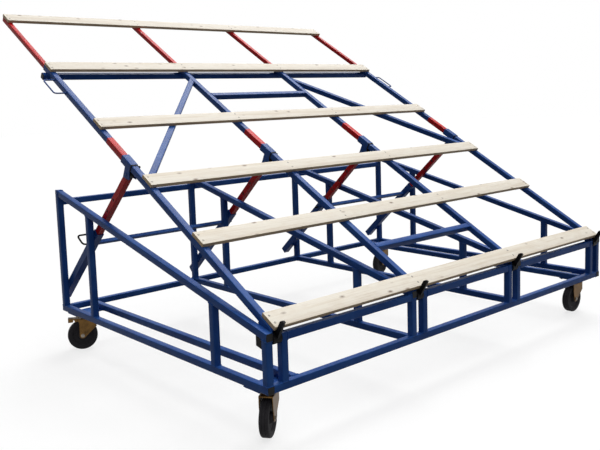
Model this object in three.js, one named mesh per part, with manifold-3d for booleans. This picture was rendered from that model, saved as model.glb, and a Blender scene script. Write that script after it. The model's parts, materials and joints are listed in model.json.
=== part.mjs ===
// Sheet goods cart: a welded tube frame on four casters carries a tilting slatted table.
// Millimetres, +Z up. X runs along the slats, the low edge of the table faces -Y.
import * as THREE from "three";
import { mergeVertices } from "three/addons/utils/BufferGeometryUtils.js";
import Module from "manifold-3d";

const wasm = await Module();
wasm.setup();

// Tube stock and running clearances
const TUBE = 40;
const TUBE_WALL = 3;
const SLIDE_PLAY = 0.5;
const SLEEVE_WALL = 4.5;
const REST_GAP = 0.3;
const WELD = 1;

// Facets of round shapes
const ARC_SEGMENTS = 5;
const BOLT_SIDES = 12;
const HEX_SIDES = 6;
const HOLE_SIDES = 8;
const HEAD_SIDES = 20;
const WHEEL_SIDES = 28;
const ROD_STEPS = 24;

// Fixed frame
const FRAME_LENGTH = 3268;
const FRAME_DEPTH = 2240;
const RAIL_UNDERSIDE = 264;
const REAR_POST_TOP = 1109;
const CHORD_TOP_REAR = 1105;
const CHORD_TOP_FRONT = 568;
const REAR_RAIL_TOP = 1046;
const LEDGE_TOP = 552;
const SECOND_POST_Y = 677;
const THIRD_POST_Y = -670;
const CASTER_RAIL_GAP = 151;
const TRUSS_COUNT = 4;

// Strut guides, struts and their lock pins
const STRUT_ANGLE = 42.6;
const GUIDE_HEIGHT_AT_POST = 831;
const GUIDE_OVERHANG = 45;
const GUIDE_TAIL = 140;
const GUIDE_PAD = 4;
const GUIDE_TIE = 25;
const STRUT_LENGTH = 880;
const PIN_SET = 125;
const PIN_RADIUS = 6;
const PIN_REACH = 30;
const PIN_KNOB = 10;
const PIN_KNOB_RADIUS = 9;
const GRIP_FOOT = 4;
const GRIP_REACH = 50;
const GRIP_HEIGHT = 64;
const GRIP_RETURN = 70;
const HOLE_PITCH = 116;
const HOLE_COUNT = 5;

// Tilting table
const TILT = 30.2;
const BEAM_RISE = 9;
const BEAM_END = 2764;
const HINGE_PIN_RADIUS = 8;
const HINGE_HEAD_RADIUS = 13;
const HINGE_HEAD = 6;
const LUG_PLAY = 1;
const LUG_RADIUS = 28;
const LUG_REACH = 110;
const SLAT_WIDTH = 110;
const SLAT_THICKNESS = 22;
const SLAT_STARTS = [3, 667.5, 1233, 1885, 2652.5];
const TOP_SLAT_START = 3430.5;
const ARM_WALL = 3;
const ARM_OVERLAP = 300;
const CROSSBAR_SET = 2707;
const CROSSBAR_OVERHANG = 25;
const TIE_SETS = { lower: 412, upper: 2300 };
const BRACE_LOW_END = 1318;
const BRACE_HIGH_END = 2530;
const HOOK_THICKNESS = 14;
const HOOK_DEPTH = 26;
const HOOK_RISE = 50;
const HOOK_ROUND = 22;
const HANDLE_RADIUS = 5;
const HANDLE_START = 2395;
const HANDLE_GRIP = 182;
const HANDLE_REACH = 80;
const ROD_BEND = 22;

// Collars that slide along the beams and carry the strut heads
const COLLAR_LENGTH = 110;
const COLLAR_LEAD = 23;
const EAR_DROP = 33.75;
const EAR_HALF_WIDTH = 26;
const EAR_END = 30;
const COLLAR_BOLT_RADIUS = 8;
const COLLAR_BOLT_HEAD_RADIUS = 12;
const COLLAR_BOLT_HEAD = 3;

// Casters
const CASTER_SET = 135;
const CASTER_PLATE = 6;
const CASTER_PLATE_LENGTH = 130;
const WHEEL_RADIUS = 100;
const WHEEL_WIDTH = 50;
const TYRE_DEPTH = 28;
const TYRE_ROUND = 9;
const WHEEL_WEB = 28;
const HUB_RADIUS = 26;
const HUB_WIDTH = 64;
const AXLE_RADIUS = 7;
const AXLE_HEAD = 8;
const AXLE_HEAD_RADIUS = 12;
const TRAIL = 40;
const FORK_PLATE = 5;
const FORK_REAR_REACH = 56;
const FORK_FRONT_REACH = 72;
const FORK_FOOT_RADIUS = 20;
const FORK_SHOULDER = 60;
const CROWN_GAP = 12;
const CROWN_THICKNESS = 8;
const HEAD_RADIUS = 52;
const PEDAL_LENGTH = 62;
const PEDAL_WIDTH = 50;
const PEDAL_THICKNESS = 7;
const PEDAL_RISE = 8;
const PEDAL_PIVOT_SET = 30;
const PEDAL_PIVOT_RISE = 14;
const PEDAL_PIN_RADIUS = 4;
const PEDAL_EAR_RADIUS = 10;
const SHOE_DROP = 17;
const SHOE_LENGTH = 16;

// Directions in which the four casters trail, in degrees from +X
const CASTERS = [
  { name: "front_left", side: -1, end: -1, trail: -144, brake: false },
  { name: "front_right", side: 1, end: -1, trail: 180, brake: false },
  { name: "rear_left", side: -1, end: 1, trail: 154, brake: true },
  { name: "rear_right", side: 1, end: 1, trail: -168, brake: true },
];

// Finishes
const BLUE_PAINT = { color: 0x2d4b96, roughness: 0.45, metalness: 0.1 };
const RED_PAINT = { color: 0xc41f1f, roughness: 0.4, metalness: 0.1 };
const PINE = { color: 0xe3d8c0, roughness: 0.75, metalness: 0 };
const BLACK_STEEL = { color: 0x16161a, roughness: 0.5, metalness: 0.2 };
const RUBBER = { color: 0x1c1c1e, roughness: 0.85, metalness: 0 };
const GOLD_ZINC = { color: 0x9a6f2c, roughness: 0.4, metalness: 0.8 };

// Sizes that follow from the driving dimensions
const SLEEVE = TUBE + 2 * (SLIDE_PLAY + SLEEVE_WALL);
const SLEEVE_BORE = TUBE + 2 * SLIDE_PLAY;
const CLEVIS_GAP = SLEEVE + 2 * GUIDE_PAD;
const LUG_THICKNESS = (CLEVIS_GAP - TUBE) / 2 - LUG_PLAY;
const ARM = TUBE - 2 * (TUBE_WALL + SLIDE_PLAY);
const HALF_LENGTH = FRAME_LENGTH / 2;
const HALF_DEPTH = FRAME_DEPTH / 2;
const RAIL_TOP = RAIL_UNDERSIDE + TUBE;
const TRUSS_PITCH = (FRAME_LENGTH - TUBE) / (TRUSS_COUNT - 1);
const TRUSSES = Array.from({ length: TRUSS_COUNT }, (_, i) => {
  const inward = i < TRUSS_COUNT / 2 ? 1 : -1;
  const truss = -HALF_LENGTH + TUBE / 2 + i * TRUSS_PITCH;
  const beam = truss + (inward * (TUBE + CLEVIS_GAP)) / 2;
  const hingePost = beam + (inward * (TUBE + CLEVIS_GAP)) / 2;
  return { number: i + 1, inward, truss, beam, hingePost };
});
const [FIRST, SECOND, THIRD, LAST] = TRUSSES;
const isEnd = (number) => number === 1 || number === TRUSS_COUNT;
const END_RAIL_INNER = HALF_LENGTH - TUBE;
const CASTER_RAIL_X = END_RAIL_INNER - CASTER_RAIL_GAP - TUBE / 2;
const HINGE_Y = -HALF_DEPTH + TUBE / 2;
const HINGE_Z = LEDGE_TOP - TUBE / 2;
const BEAM_TOP = BEAM_RISE + TUBE;
const BEAM_AXIS = BEAM_RISE + TUBE / 2;
const BEAM_START = HINGE_PIN_RADIUS + SLIDE_PLAY + TUBE_WALL + LUG_PLAY;
const SLAT_BOTTOM = BEAM_TOP + REST_GAP;
const SLAT_HALF_LENGTH = LAST.beam + TUBE / 2;
const tilt = THREE.MathUtils.degToRad(TILT);
const strutSlope = THREE.MathUtils.degToRad(STRUT_ANGLE);
const chordSlope = (CHORD_TOP_REAR - CHORD_TOP_FRONT) / (FRAME_DEPTH - TUBE);
const chordDrop = TUBE * Math.hypot(1, chordSlope);
const chordTop = (y) => CHORD_TOP_FRONT + (y + HALF_DEPTH) * chordSlope;

// The guides' upper end and the distance along the struts to the collars' pivot line
const GUIDE_TOP_Y = SECOND_POST_Y - GUIDE_OVERHANG * Math.cos(strutSlope);
const GUIDE_TOP_Z = GUIDE_HEIGHT_AT_POST + GUIDE_OVERHANG * Math.sin(strutSlope);
const alongGuide = (y) => (y - GUIDE_TOP_Y) / Math.cos(strutSlope);
const GUIDE_LENGTH = alongGuide(HALF_DEPTH - TUBE / 2) + GUIDE_TAIL;
const PIVOT_RISE = BEAM_RISE - EAR_DROP;
const guideTopRise =
  (GUIDE_TOP_Z - HINGE_Z) * Math.cos(tilt) - (GUIDE_TOP_Y - HINGE_Y) * Math.sin(tilt);
const STRUT_REACH = (PIVOT_RISE - guideTopRise) / Math.sin(tilt + strutSlope);
const PIVOT_SET =
  (GUIDE_TOP_Y - HINGE_Y - STRUT_REACH * Math.cos(strutSlope)) * Math.cos(tilt) +
  (GUIDE_TOP_Z - HINGE_Z + STRUT_REACH * Math.sin(strutSlope)) * Math.sin(tilt);
const PIN_Y = GUIDE_TOP_Y + PIN_SET * Math.cos(strutSlope);
const PIN_Z = GUIDE_TOP_Z - PIN_SET * Math.sin(strutSlope);

// Box from its lowest and highest corner
function block([x0, x1], [y0, y1], [z0, z1]) {
  const box = new THREE.BoxGeometry(x1 - x0, y1 - y0, z1 - z0);
  return box.translate((x0 + x1) / 2, (y0 + y1) / 2, (z0 + z1) / 2);
}

// Span of a given width about a centre
const about = (centre, width) => [centre - width / 2, centre + width / 2];
const ordered = (a, b) => [Math.min(a, b), Math.max(a, b)];

// Flat plate of a given outline and thickness
function plateOf(shape, depth) {
  const options = { depth, bevelEnabled: false, curveSegments: ARC_SEGMENTS };
  return new THREE.ExtrudeGeometry(shape, options);
}

// Outline drawn in Y and Z, carried along X
function plateAcross(shape, [x0, x1]) {
  const plate = plateOf(shape, x1 - x0);
  const turn = new THREE.Matrix4().makeBasis(
    new THREE.Vector3(0, 1, 0),
    new THREE.Vector3(0, 0, 1),
    new THREE.Vector3(1, 0, 0),
  );
  return plate.applyMatrix4(turn).translate(x0, 0, 0);
}

// Outline drawn in X and Z, carried along Y
function plateAlong(shape, [y0, y1]) {
  return plateOf(shape, y1 - y0).rotateX(Math.PI / 2).translate(0, y1, 0);
}

// Square tube along Y, open at both ends
function tubeAlong(outer, bore, [y0, y1], x, z) {
  const shape = square(outer);
  shape.holes.push(square(bore));
  return plateAlong(shape, [y0, y1]).translate(x, 0, z);
}

function square(side) {
  const h = side / 2;
  return new THREE.Shape([
    new THREE.Vector2(-h, -h),
    new THREE.Vector2(h, -h),
    new THREE.Vector2(h, h),
    new THREE.Vector2(-h, h),
  ]);
}

const polygon = (points) => new THREE.Shape(points.map(([u, v]) => new THREE.Vector2(u, v)));

// Round bar along X, Y or Z
function rodAcross(radius, [x0, x1], y, z, sides = BOLT_SIDES) {
  const rod = new THREE.CylinderGeometry(radius, radius, x1 - x0, sides);
  return rod.rotateZ(Math.PI / 2).translate((x0 + x1) / 2, y, z);
}

function rodAlong(radius, [y0, y1], x, z, sides = BOLT_SIDES) {
  const rod = new THREE.CylinderGeometry(radius, radius, y1 - y0, sides);
  return rod.translate(x, (y0 + y1) / 2, z);
}

function rodUpright(radius, [z0, z1], x, y, sides = HEAD_SIDES) {
  const rod = new THREE.CylinderGeometry(radius, radius, z1 - z0, sides);
  return rod.rotateX(Math.PI / 2).translate(x, y, (z0 + z1) / 2);
}

// Round rod along straight runs with a bend at each inner corner
function bentRod(corners, radius, bend) {
  const path = new THREE.CurvePath();
  let start = corners[0];
  for (let i = 1; i < corners.length - 1; i++) {
    const corner = corners[i];
    const before = corners[i - 1].clone().sub(corner).setLength(bend).add(corner);
    const after = corners[i + 1].clone().sub(corner).setLength(bend).add(corner);
    path.add(new THREE.LineCurve3(start, before));
    path.add(new THREE.QuadraticBezierCurve3(before, corner, after));
    start = after;
  }
  path.add(new THREE.LineCurve3(start, corners[corners.length - 1]));
  const section = new THREE.Shape().absarc(0, 0, radius, 0, 2 * Math.PI);
  const options = { steps: ROD_STEPS, extrudePath: path, curveSegments: HOLE_SIDES / 2 };
  return new THREE.ExtrudeGeometry(section, options);
}

// Joining and cutting closed solids
function solid(geometry) {
  const bare = geometry.clone();
  bare.deleteAttribute("normal");
  bare.deleteAttribute("uv");
  const merged = mergeVertices(bare, 1e-4);
  const vertProperties = new Float32Array(merged.attributes.position.array);
  const triVerts = new Uint32Array(merged.index.array);
  return new wasm.Manifold(new wasm.Mesh({ numProp: 3, vertProperties, triVerts }));
}

function surface(body) {
  const made = body.getMesh();
  const geometry = new THREE.BufferGeometry();
  geometry.setAttribute("position", new THREE.BufferAttribute(made.vertProperties, 3));
  geometry.setIndex(new THREE.BufferAttribute(made.triVerts, 1));
  geometry.computeVertexNormals();
  return geometry;
}

const weld = (...pieces) => surface(pieces.map(solid).reduce((a, b) => a.add(b)));
const cut = (piece, ...tools) =>
  surface(tools.map(solid).reduce((a, b) => a.subtract(b), solid(piece)));

// Groups: the cart, its tilting table and the slanted struts
const cart = new THREE.Group();
const table = new THREE.Group();
table.position.set(0, HINGE_Y, HINGE_Z);
table.rotation.x = tilt;
const struts = new THREE.Group();
struts.position.set(0, GUIDE_TOP_Y, GUIDE_TOP_Z);
struts.rotation.x = -strutSlope;
cart.add(table, struts);

function piece(group, name, geometry, finish) {
  const mesh = new THREE.Mesh(geometry, new THREE.MeshStandardMaterial(finish));
  mesh.name = name;
  group.add(mesh);
  return mesh;
}

// Side frame: bottom rail, four posts and the sloping chord in one plane.
// The inner ones stand between the front and rear rails, the end ones reach over them.
function sideFrame({ number, truss }) {
  const back = HALF_DEPTH;
  const inside = HALF_DEPTH - TUBE;
  const foot = isEnd(number)
    ? [[-back, RAIL_UNDERSIDE], [back, RAIL_UNDERSIDE]]
    : [
        [-back, RAIL_TOP],
        [-inside, RAIL_TOP],
        [-inside, RAIL_UNDERSIDE],
        [inside, RAIL_UNDERSIDE],
        [inside, RAIL_TOP],
        [back, RAIL_TOP],
      ];
  const outline = polygon([
    ...foot,
    [back, REAR_POST_TOP],
    [inside, REAR_POST_TOP],
    [inside, chordTop(inside)],
    [-back, chordTop(-back)],
  ]);
  const posts = [-back + TUBE / 2, THIRD_POST_Y, SECOND_POST_Y, back - TUBE / 2];
  const through = about(truss, TUBE + 2 * WELD);
  const cells = posts.slice(1).map((post, i) => {
    const from = posts[i] + TUBE / 2;
    const to = post - TUBE / 2;
    const cell = polygon([
      [from, RAIL_TOP],
      [to, RAIL_TOP],
      [to, chordTop(to) - chordDrop],
      [from, chordTop(from) - chordDrop],
    ]);
    return plateAcross(cell, through);
  });
  const bore = rodAcross(HINGE_PIN_RADIUS + SLIDE_PLAY, through, HINGE_Y, HINGE_Z);
  const plate = plateAcross(outline, about(truss, TUBE));
  piece(cart, `side_frame_${number}`, cut(plate, ...cells, bore), BLUE_PAINT);
}

// Hinge post on the front rail, with the pin that carries the beam's lugs.
// The pin of an end frame shows its head outside, the others stop inside the frame's post.
const frontY = [-HALF_DEPTH, -HALF_DEPTH + TUBE];
const ledgeZ = [LEDGE_TOP - TUBE, LEDGE_TOP];
function hingePost({ number, inward, truss, hingePost: post }, footZ) {
  const outerFace = truss - (inward * TUBE) / 2;
  const upright = block(about(post, TUBE), frontY, [footZ, LEDGE_TOP]);
  if (!isEnd(number)) {
    const pinEnd = outerFace + inward * TUBE_WALL;
    return [upright, rodAcross(HINGE_PIN_RADIUS, ordered(pinEnd, post), HINGE_Y, HINGE_Z)];
  }
  const headEnd = outerFace - inward * HINGE_HEAD;
  return [
    upright,
    rodAcross(HINGE_PIN_RADIUS, ordered(headEnd, post), HINGE_Y, HINGE_Z),
    rodAcross(HINGE_HEAD_RADIUS, ordered(headEnd, outerFace), HINGE_Y, HINGE_Z, HEX_SIDES),
  ];
}

function baseRails() {
  const betweenEnds = [-END_RAIL_INNER, END_RAIL_INNER];
  const betweenFrames = [-HALF_DEPTH + TUBE, HALF_DEPTH - TUBE];
  const railZ = [RAIL_UNDERSIDE, RAIL_TOP];
  const rearY = [HALF_DEPTH - TUBE, HALF_DEPTH];
  const frontRail = weld(
    block(betweenEnds, frontY, railZ),
    ...hingePost(SECOND, RAIL_TOP - WELD),
    ...hingePost(THIRD, RAIL_TOP - WELD),
    block([SECOND.hingePost, THIRD.hingePost], frontY, ledgeZ),
  );
  piece(cart, "front_rail", frontRail, BLUE_PAINT);
  const leftLedge = block([FIRST.hingePost, SECOND.truss - TUBE / 2], frontY, ledgeZ);
  const rightLedge = block([THIRD.truss + TUBE / 2, LAST.hingePost], frontY, ledgeZ);
  piece(cart, "front_ledge_left", weld(leftLedge, ...hingePost(FIRST, RAIL_TOP)), BLUE_PAINT);
  piece(cart, "front_ledge_right", weld(rightLedge, ...hingePost(LAST, RAIL_TOP)), BLUE_PAINT);
  piece(cart, "rear_bottom_rail", block(betweenEnds, rearY, railZ), BLUE_PAINT);
  ["left", "middle", "right"].forEach((bay, i) => {
    const span = [TRUSSES[i].truss + TUBE / 2, TRUSSES[i + 1].truss - TUBE / 2];
    const rail = block(span, rearY, [REAR_RAIL_TOP - TUBE, REAR_RAIL_TOP]);
    piece(cart, `rear_top_rail_${bay}`, rail, BLUE_PAINT);
  });
  [["left", -1], ["right", 1]].forEach(([name, side]) => {
    const rail = block(about(side * CASTER_RAIL_X, TUBE), betweenFrames, railZ);
    const plates = [-1, 1].flatMap((end) => casterPlate(side, end));
    piece(cart, `caster_rail_${name}`, weld(rail, ...plates), BLUE_PAINT);
  });
}

// Mounting plate of a caster, welded under its rail and reaching under the end rail
const casterX = (CASTER_RAIL_X - TUBE / 2 + HALF_LENGTH) / 2;
const casterY = HALF_DEPTH - CASTER_SET;
function casterPlate(side, end) {
  const width = HALF_LENGTH - CASTER_RAIL_X + TUBE / 2;
  const y = about(end * casterY, CASTER_PLATE_LENGTH);
  const z = [RAIL_UNDERSIDE - CASTER_PLATE, RAIL_UNDERSIDE];
  const seam = block(about(side * CASTER_RAIL_X, TUBE - 2 * WELD), y, [z[0], z[1] + WELD]);
  return [block(about(side * casterX, width), y, z), seam];
}

// Pair of slanted guides on the inner sides of two neighbouring side frames,
// joined by a tie on the line of their lock pins
function guidePair(name, pair) {
  const guides = pair.map(({ inward, beam, truss }) => {
    const tube = tubeAlong(SLEEVE, SLEEVE_BORE, [0, GUIDE_LENGTH], beam, 0);
    const face = truss + (inward * TUBE) / 2;
    const pads = [SECOND_POST_Y, HALF_DEPTH - TUBE / 2].map((post) => {
      const wall = beam - inward * (SLEEVE / 2 - WELD);
      return block(ordered(face, wall), about(alongGuide(post), TUBE), about(0, TUBE));
    });
    const sleeveSpan = about(beam, SLEEVE + 2 * WELD);
    const pinHole = rodAcross(PIN_RADIUS + SLIDE_PLAY, sleeveSpan, PIN_SET, 0, HOLE_SIDES);
    return cut(weld(tube, ...pads), pinHole);
  });
  const from = pair[0].beam + SLEEVE / 2 - WELD;
  const to = pair[1].beam - SLEEVE / 2 + WELD;
  const tie = block([from, to], about(PIN_SET, GUIDE_TIE), about(0, GUIDE_TIE));
  piece(struts, name, weld(...guides, tie), BLUE_PAINT);
}

// Strut: square tube with a rounded head, a cross hole in it and a row of holes for the lock pin
function strut({ number, beam }) {
  const end = STRUT_LENGTH - STRUT_REACH;
  const bore = TUBE - 2 * TUBE_WALL;
  const tube = tubeAlong(TUBE, bore, [-STRUT_REACH, end], beam, 0);
  const head = rodAcross(TUBE / 2, about(beam, TUBE), -STRUT_REACH, 0, HEAD_SIDES);
  const across = about(beam, TUBE + 2 * WELD);
  const holes = Array.from({ length: HOLE_COUNT }, (_, i) =>
    rodAcross(PIN_RADIUS + SLIDE_PLAY, across, PIN_SET - i * HOLE_PITCH, 0, HOLE_SIDES),
  );
  const cross = rodAcross(COLLAR_BOLT_RADIUS + SLIDE_PLAY, across, -STRUT_REACH, 0);
  piece(struts, `strut_${number}`, cut(weld(tube, head), cross, ...holes), RED_PAINT);
}

// Lock pin: a rod in one wall of the guide. At the end frames it comes from outside and is bent
// up and back as a grip, at the inner ones it comes from the cart's middle and ends in a knob.
// Its tip stays clear of the strut, so that the strut can slide past it.
function lockPin({ number, inward, truss, beam }) {
  const side = isEnd(number) ? -inward : inward;
  const tip = beam + (side * SLEEVE_BORE) / 2;
  piece(cart, `lock_pin_${number}`, isEnd(number) ? gripPin() : knobPin(), BLACK_STEEL);

  function gripPin() {
    const face = truss + (side * TUBE) / 2;
    const outside = face + side * GRIP_REACH;
    const top = PIN_Z + GRIP_HEIGHT;
    const corners = [
      [tip, PIN_Z],
      [face + side * GRIP_FOOT, PIN_Z],
      [outside, top],
      [outside - side * GRIP_RETURN, top],
    ].map(([x, z]) => new THREE.Vector3(x, PIN_Y, z));
    return bentRod(corners, PIN_RADIUS, ROD_BEND);
  }

  function knobPin() {
    const end = beam + side * (SLEEVE / 2 + PIN_REACH);
    const knobStart = end - side * PIN_KNOB;
    return weld(
      rodAcross(PIN_RADIUS, ordered(tip, knobStart + side * WELD), PIN_Y, PIN_Z),
      rodAcross(PIN_KNOB_RADIUS, ordered(knobStart, end), PIN_Y, PIN_Z),
    );
  }
}

// Table beam: square tube on two hinge lugs, the outer beams with a carrying handle
function tableBeam({ number, inward, beam }) {
  const tube = tubeAlong(TUBE, TUBE - 2 * TUBE_WALL, [BEAM_START, BEAM_END], beam, BEAM_AXIS);
  const lug = new THREE.Shape();
  lug.moveTo(LUG_REACH, BEAM_RISE);
  lug.lineTo(0, -LUG_RADIUS);
  lug.absarc(0, 0, LUG_RADIUS, -Math.PI / 2, Math.PI / 2, true);
  lug.lineTo(LUG_REACH / 3, BEAM_TOP);
  lug.lineTo(LUG_REACH, BEAM_TOP);
  lug.closePath();
  const lugs = [-1, 1].map((side) => {
    const inner = beam + side * (TUBE / 2 - WELD);
    const outer = beam + side * (TUBE / 2 + LUG_THICKNESS);
    return plateAcross(lug, ordered(inner, outer));
  });
  const handle = isEnd(number) ? [carryHandle(beam - (inward * TUBE) / 2, -inward)] : [];
  const bore = rodAcross(HINGE_PIN_RADIUS + SLIDE_PLAY, about(beam, CLEVIS_GAP), 0, 0);
  piece(table, `table_beam_${number}`, cut(weld(tube, ...lugs, ...handle), bore), BLUE_PAINT);
}

function carryHandle(face, outward) {
  const grip = face + outward * HANDLE_REACH;
  const root = face - outward * (TUBE_WALL / 2);
  const corners = [
    [root, HANDLE_START],
    [grip, HANDLE_START],
    [grip, HANDLE_START + HANDLE_GRIP],
    [root, HANDLE_START + HANDLE_GRIP],
  ].map(([x, y]) => new THREE.Vector3(x, y, BEAM_AXIS));
  return bentRod(corners, HANDLE_RADIUS, ROD_BEND);
}

// Bars that stiffen the table: a crossbar under the beams, ties and diagonals between them
function tableBracing() {
  const beamZ = [BEAM_RISE, BEAM_TOP];
  const half = SLAT_HALF_LENGTH + CROSSBAR_OVERHANG;
  const under = [BEAM_RISE - REST_GAP - TUBE, BEAM_RISE - REST_GAP];
  const crossbar = block([-half, half], about(CROSSBAR_SET, TUBE), under);
  piece(table, "table_crossbar", crossbar, BLUE_PAINT);
  const inner = [SECOND.beam + TUBE / 2, THIRD.beam - TUBE / 2];
  for (const [place, set] of Object.entries(TIE_SETS)) {
    piece(table, `table_tie_${place}`, block(inner, about(set, TUBE), beamZ), BLUE_PAINT);
  }
  const low = FIRST.beam + TUBE / 2;
  const high = SECOND.beam - TUBE / 2;
  const halfWidth = (TUBE / 2) * Math.hypot(1, (BRACE_HIGH_END - BRACE_LOW_END) / (high - low));
  for (const [name, side] of [["left", 1], ["right", -1]]) {
    const corners = [
      [side * low, BRACE_LOW_END - halfWidth],
      [side * high, BRACE_HIGH_END - halfWidth],
      [side * high, BRACE_HIGH_END + halfWidth],
      [side * low, BRACE_LOW_END + halfWidth],
    ];
    const bar = plateOf(polygon(corners), TUBE).translate(0, 0, BEAM_RISE);
    piece(table, `table_brace_${name}`, bar, BLUE_PAINT);
  }
}

function slat(name, start) {
  const plank = block(
    [-SLAT_HALF_LENGTH, SLAT_HALF_LENGTH],
    [start, start + SLAT_WIDTH],
    [SLAT_BOTTOM, SLAT_BOTTOM + SLAT_THICKNESS],
  );
  piece(table, name, plank, PINE);
}

// Stop hook: a plate on the beam's end that stands up square to the table in front of the first slat
function stopHook({ number, beam }) {
  const back = SLAT_STARTS[0] - REST_GAP;
  const front = back - HOOK_DEPTH;
  const top = SLAT_BOTTOM + SLAT_THICKNESS + HOOK_RISE;
  const heel = BEAM_START - REST_GAP;
  const sole = HINGE_PIN_RADIUS + SLIDE_PLAY + WELD;
  const hook = new THREE.Shape();
  hook.moveTo(front, sole);
  hook.lineTo(heel, sole);
  hook.lineTo(heel, BEAM_TOP - REST_GAP);
  hook.lineTo(back, BEAM_TOP - REST_GAP);
  hook.lineTo(back, top - HOOK_ROUND);
  hook.absarc(back - HOOK_ROUND, top - HOOK_ROUND, HOOK_ROUND, 0, Math.PI / 2, false);
  hook.lineTo(front, top);
  hook.closePath();
  piece(table, `stop_hook_${number}`, plateAcross(hook, about(beam, HOOK_THICKNESS)), BLACK_STEEL);
}

// Extension arm: a smaller tube that slides in the beam, closed at its upper end,
// with a pad for the top slat
function extensionArm({ number, beam }) {
  const end = TOP_SLAT_START + SLAT_WIDTH;
  const start = BEAM_END - ARM_OVERLAP;
  const bore = ARM - 2 * ARM_WALL;
  const tube = tubeAlong(ARM, bore, [start, end], beam, BEAM_AXIS);
  const cap = block(about(beam, ARM - WELD), [end - ARM_WALL, end], about(BEAM_AXIS, ARM - WELD));
  const padZ = [BEAM_AXIS + ARM / 2 - WELD, SLAT_BOTTOM - REST_GAP];
  const pad = block(about(beam, ARM), [TOP_SLAT_START, end], padZ);
  piece(table, `extension_arm_${number}`, weld(tube, cap, pad), RED_PAINT);
}

// Collar: a sleeve on the beam with two ears, in line with the strut, that take its head between
// them. Each ear holds its own half of the bolt, clear of the strut head.
function beamCollar({ number, beam }) {
  const start = PIVOT_SET - COLLAR_LEAD;
  const sleeve = tubeAlong(SLEEVE, SLEEVE_BORE, [start, start + COLLAR_LENGTH], beam, BEAM_AXIS);
  const under = BEAM_AXIS - SLEEVE / 2;
  const lean = tilt + strutSlope;
  const earRoot = under + SLEEVE_WALL;
  const earPoint = (aside, down) => [
    PIVOT_SET + aside * Math.sin(lean) + down * Math.cos(lean),
    PIVOT_RISE + aside * Math.cos(lean) - down * Math.sin(lean),
  ];
  const rearDrop = (PIVOT_RISE - earRoot + EAR_HALF_WIDTH * Math.cos(lean)) / Math.sin(lean);
  const ear = polygon([
    [start, earRoot],
    earPoint(-EAR_HALF_WIDTH, EAR_END),
    earPoint(EAR_HALF_WIDTH, EAR_END),
    earPoint(EAR_HALF_WIDTH, rearDrop),
  ]);
  const pieces = [-1, 1].flatMap((side) => {
    const span = (from, to) => ordered(beam + side * from, beam + side * to);
    const half = SLEEVE / 2;
    const headSpan = span(half - WELD, half + COLLAR_BOLT_HEAD);
    return [
      plateAcross(ear, span(SLEEVE_BORE / 2, half)),
      rodAcross(COLLAR_BOLT_RADIUS, span(SLEEVE_BORE / 2, half + WELD), PIVOT_SET, PIVOT_RISE),
      rodAcross(COLLAR_BOLT_HEAD_RADIUS, headSpan, PIVOT_SET, PIVOT_RISE, HEX_SIDES),
    ];
  });
  piece(table, `beam_collar_${number}`, weld(sleeve, ...pieces), BLUE_PAINT);
}

// Caster: fork under its plate, wheel on the axle bolt and, at the rear, a brake pedal
const hubHalf = HUB_WIDTH / 2;
const forkInner = hubHalf + SLIDE_PLAY;
const forkOuter = forkInner + FORK_PLATE;
const crownBottom = 2 * WHEEL_RADIUS + CROWN_GAP;
const pedalX = TRAIL + PEDAL_PIVOT_SET;
const pedalZ = 2 * WHEEL_RADIUS + PEDAL_PIVOT_RISE;

// The forks with a brake are narrower on the pedal's side
const forkFront = (brake) => (brake ? TRAIL + FORK_FOOT_RADIUS : FORK_FRONT_REACH);

function forkSide(brake) {
  const front = forkFront(brake);
  const shoulder = crownBottom + CROWN_THICKNESS - FORK_SHOULDER;
  const crownTop = crownBottom + CROWN_THICKNESS;
  const across = TRAIL + FORK_REAR_REACH;
  const taper = Math.atan2(shoulder - WHEEL_RADIUS, across);
  const reach = Math.hypot(across, shoulder - WHEEL_RADIUS);
  const tangent = Math.PI - taper + Math.acos(FORK_FOOT_RADIUS / reach);
  const side = new THREE.Shape();
  side.moveTo(-FORK_REAR_REACH, crownTop);
  side.lineTo(-FORK_REAR_REACH, shoulder);
  side.lineTo(
    TRAIL + FORK_FOOT_RADIUS * Math.cos(tangent),
    WHEEL_RADIUS + FORK_FOOT_RADIUS * Math.sin(tangent),
  );
  side.absarc(TRAIL, WHEEL_RADIUS, FORK_FOOT_RADIUS, tangent, 2 * Math.PI, false);
  side.lineTo(front, shoulder);
  if (brake) {
    side.lineTo(front, pedalZ - 2 * PEDAL_EAR_RADIUS);
    side.lineTo(pedalX, pedalZ - PEDAL_EAR_RADIUS);
    side.absarc(pedalX, pedalZ, PEDAL_EAR_RADIUS, -Math.PI / 2, Math.PI / 2, false);
    side.lineTo(front, pedalZ + PEDAL_EAR_RADIUS);
  }
  side.lineTo(front, crownTop);
  side.closePath();
  return side;
}

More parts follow.
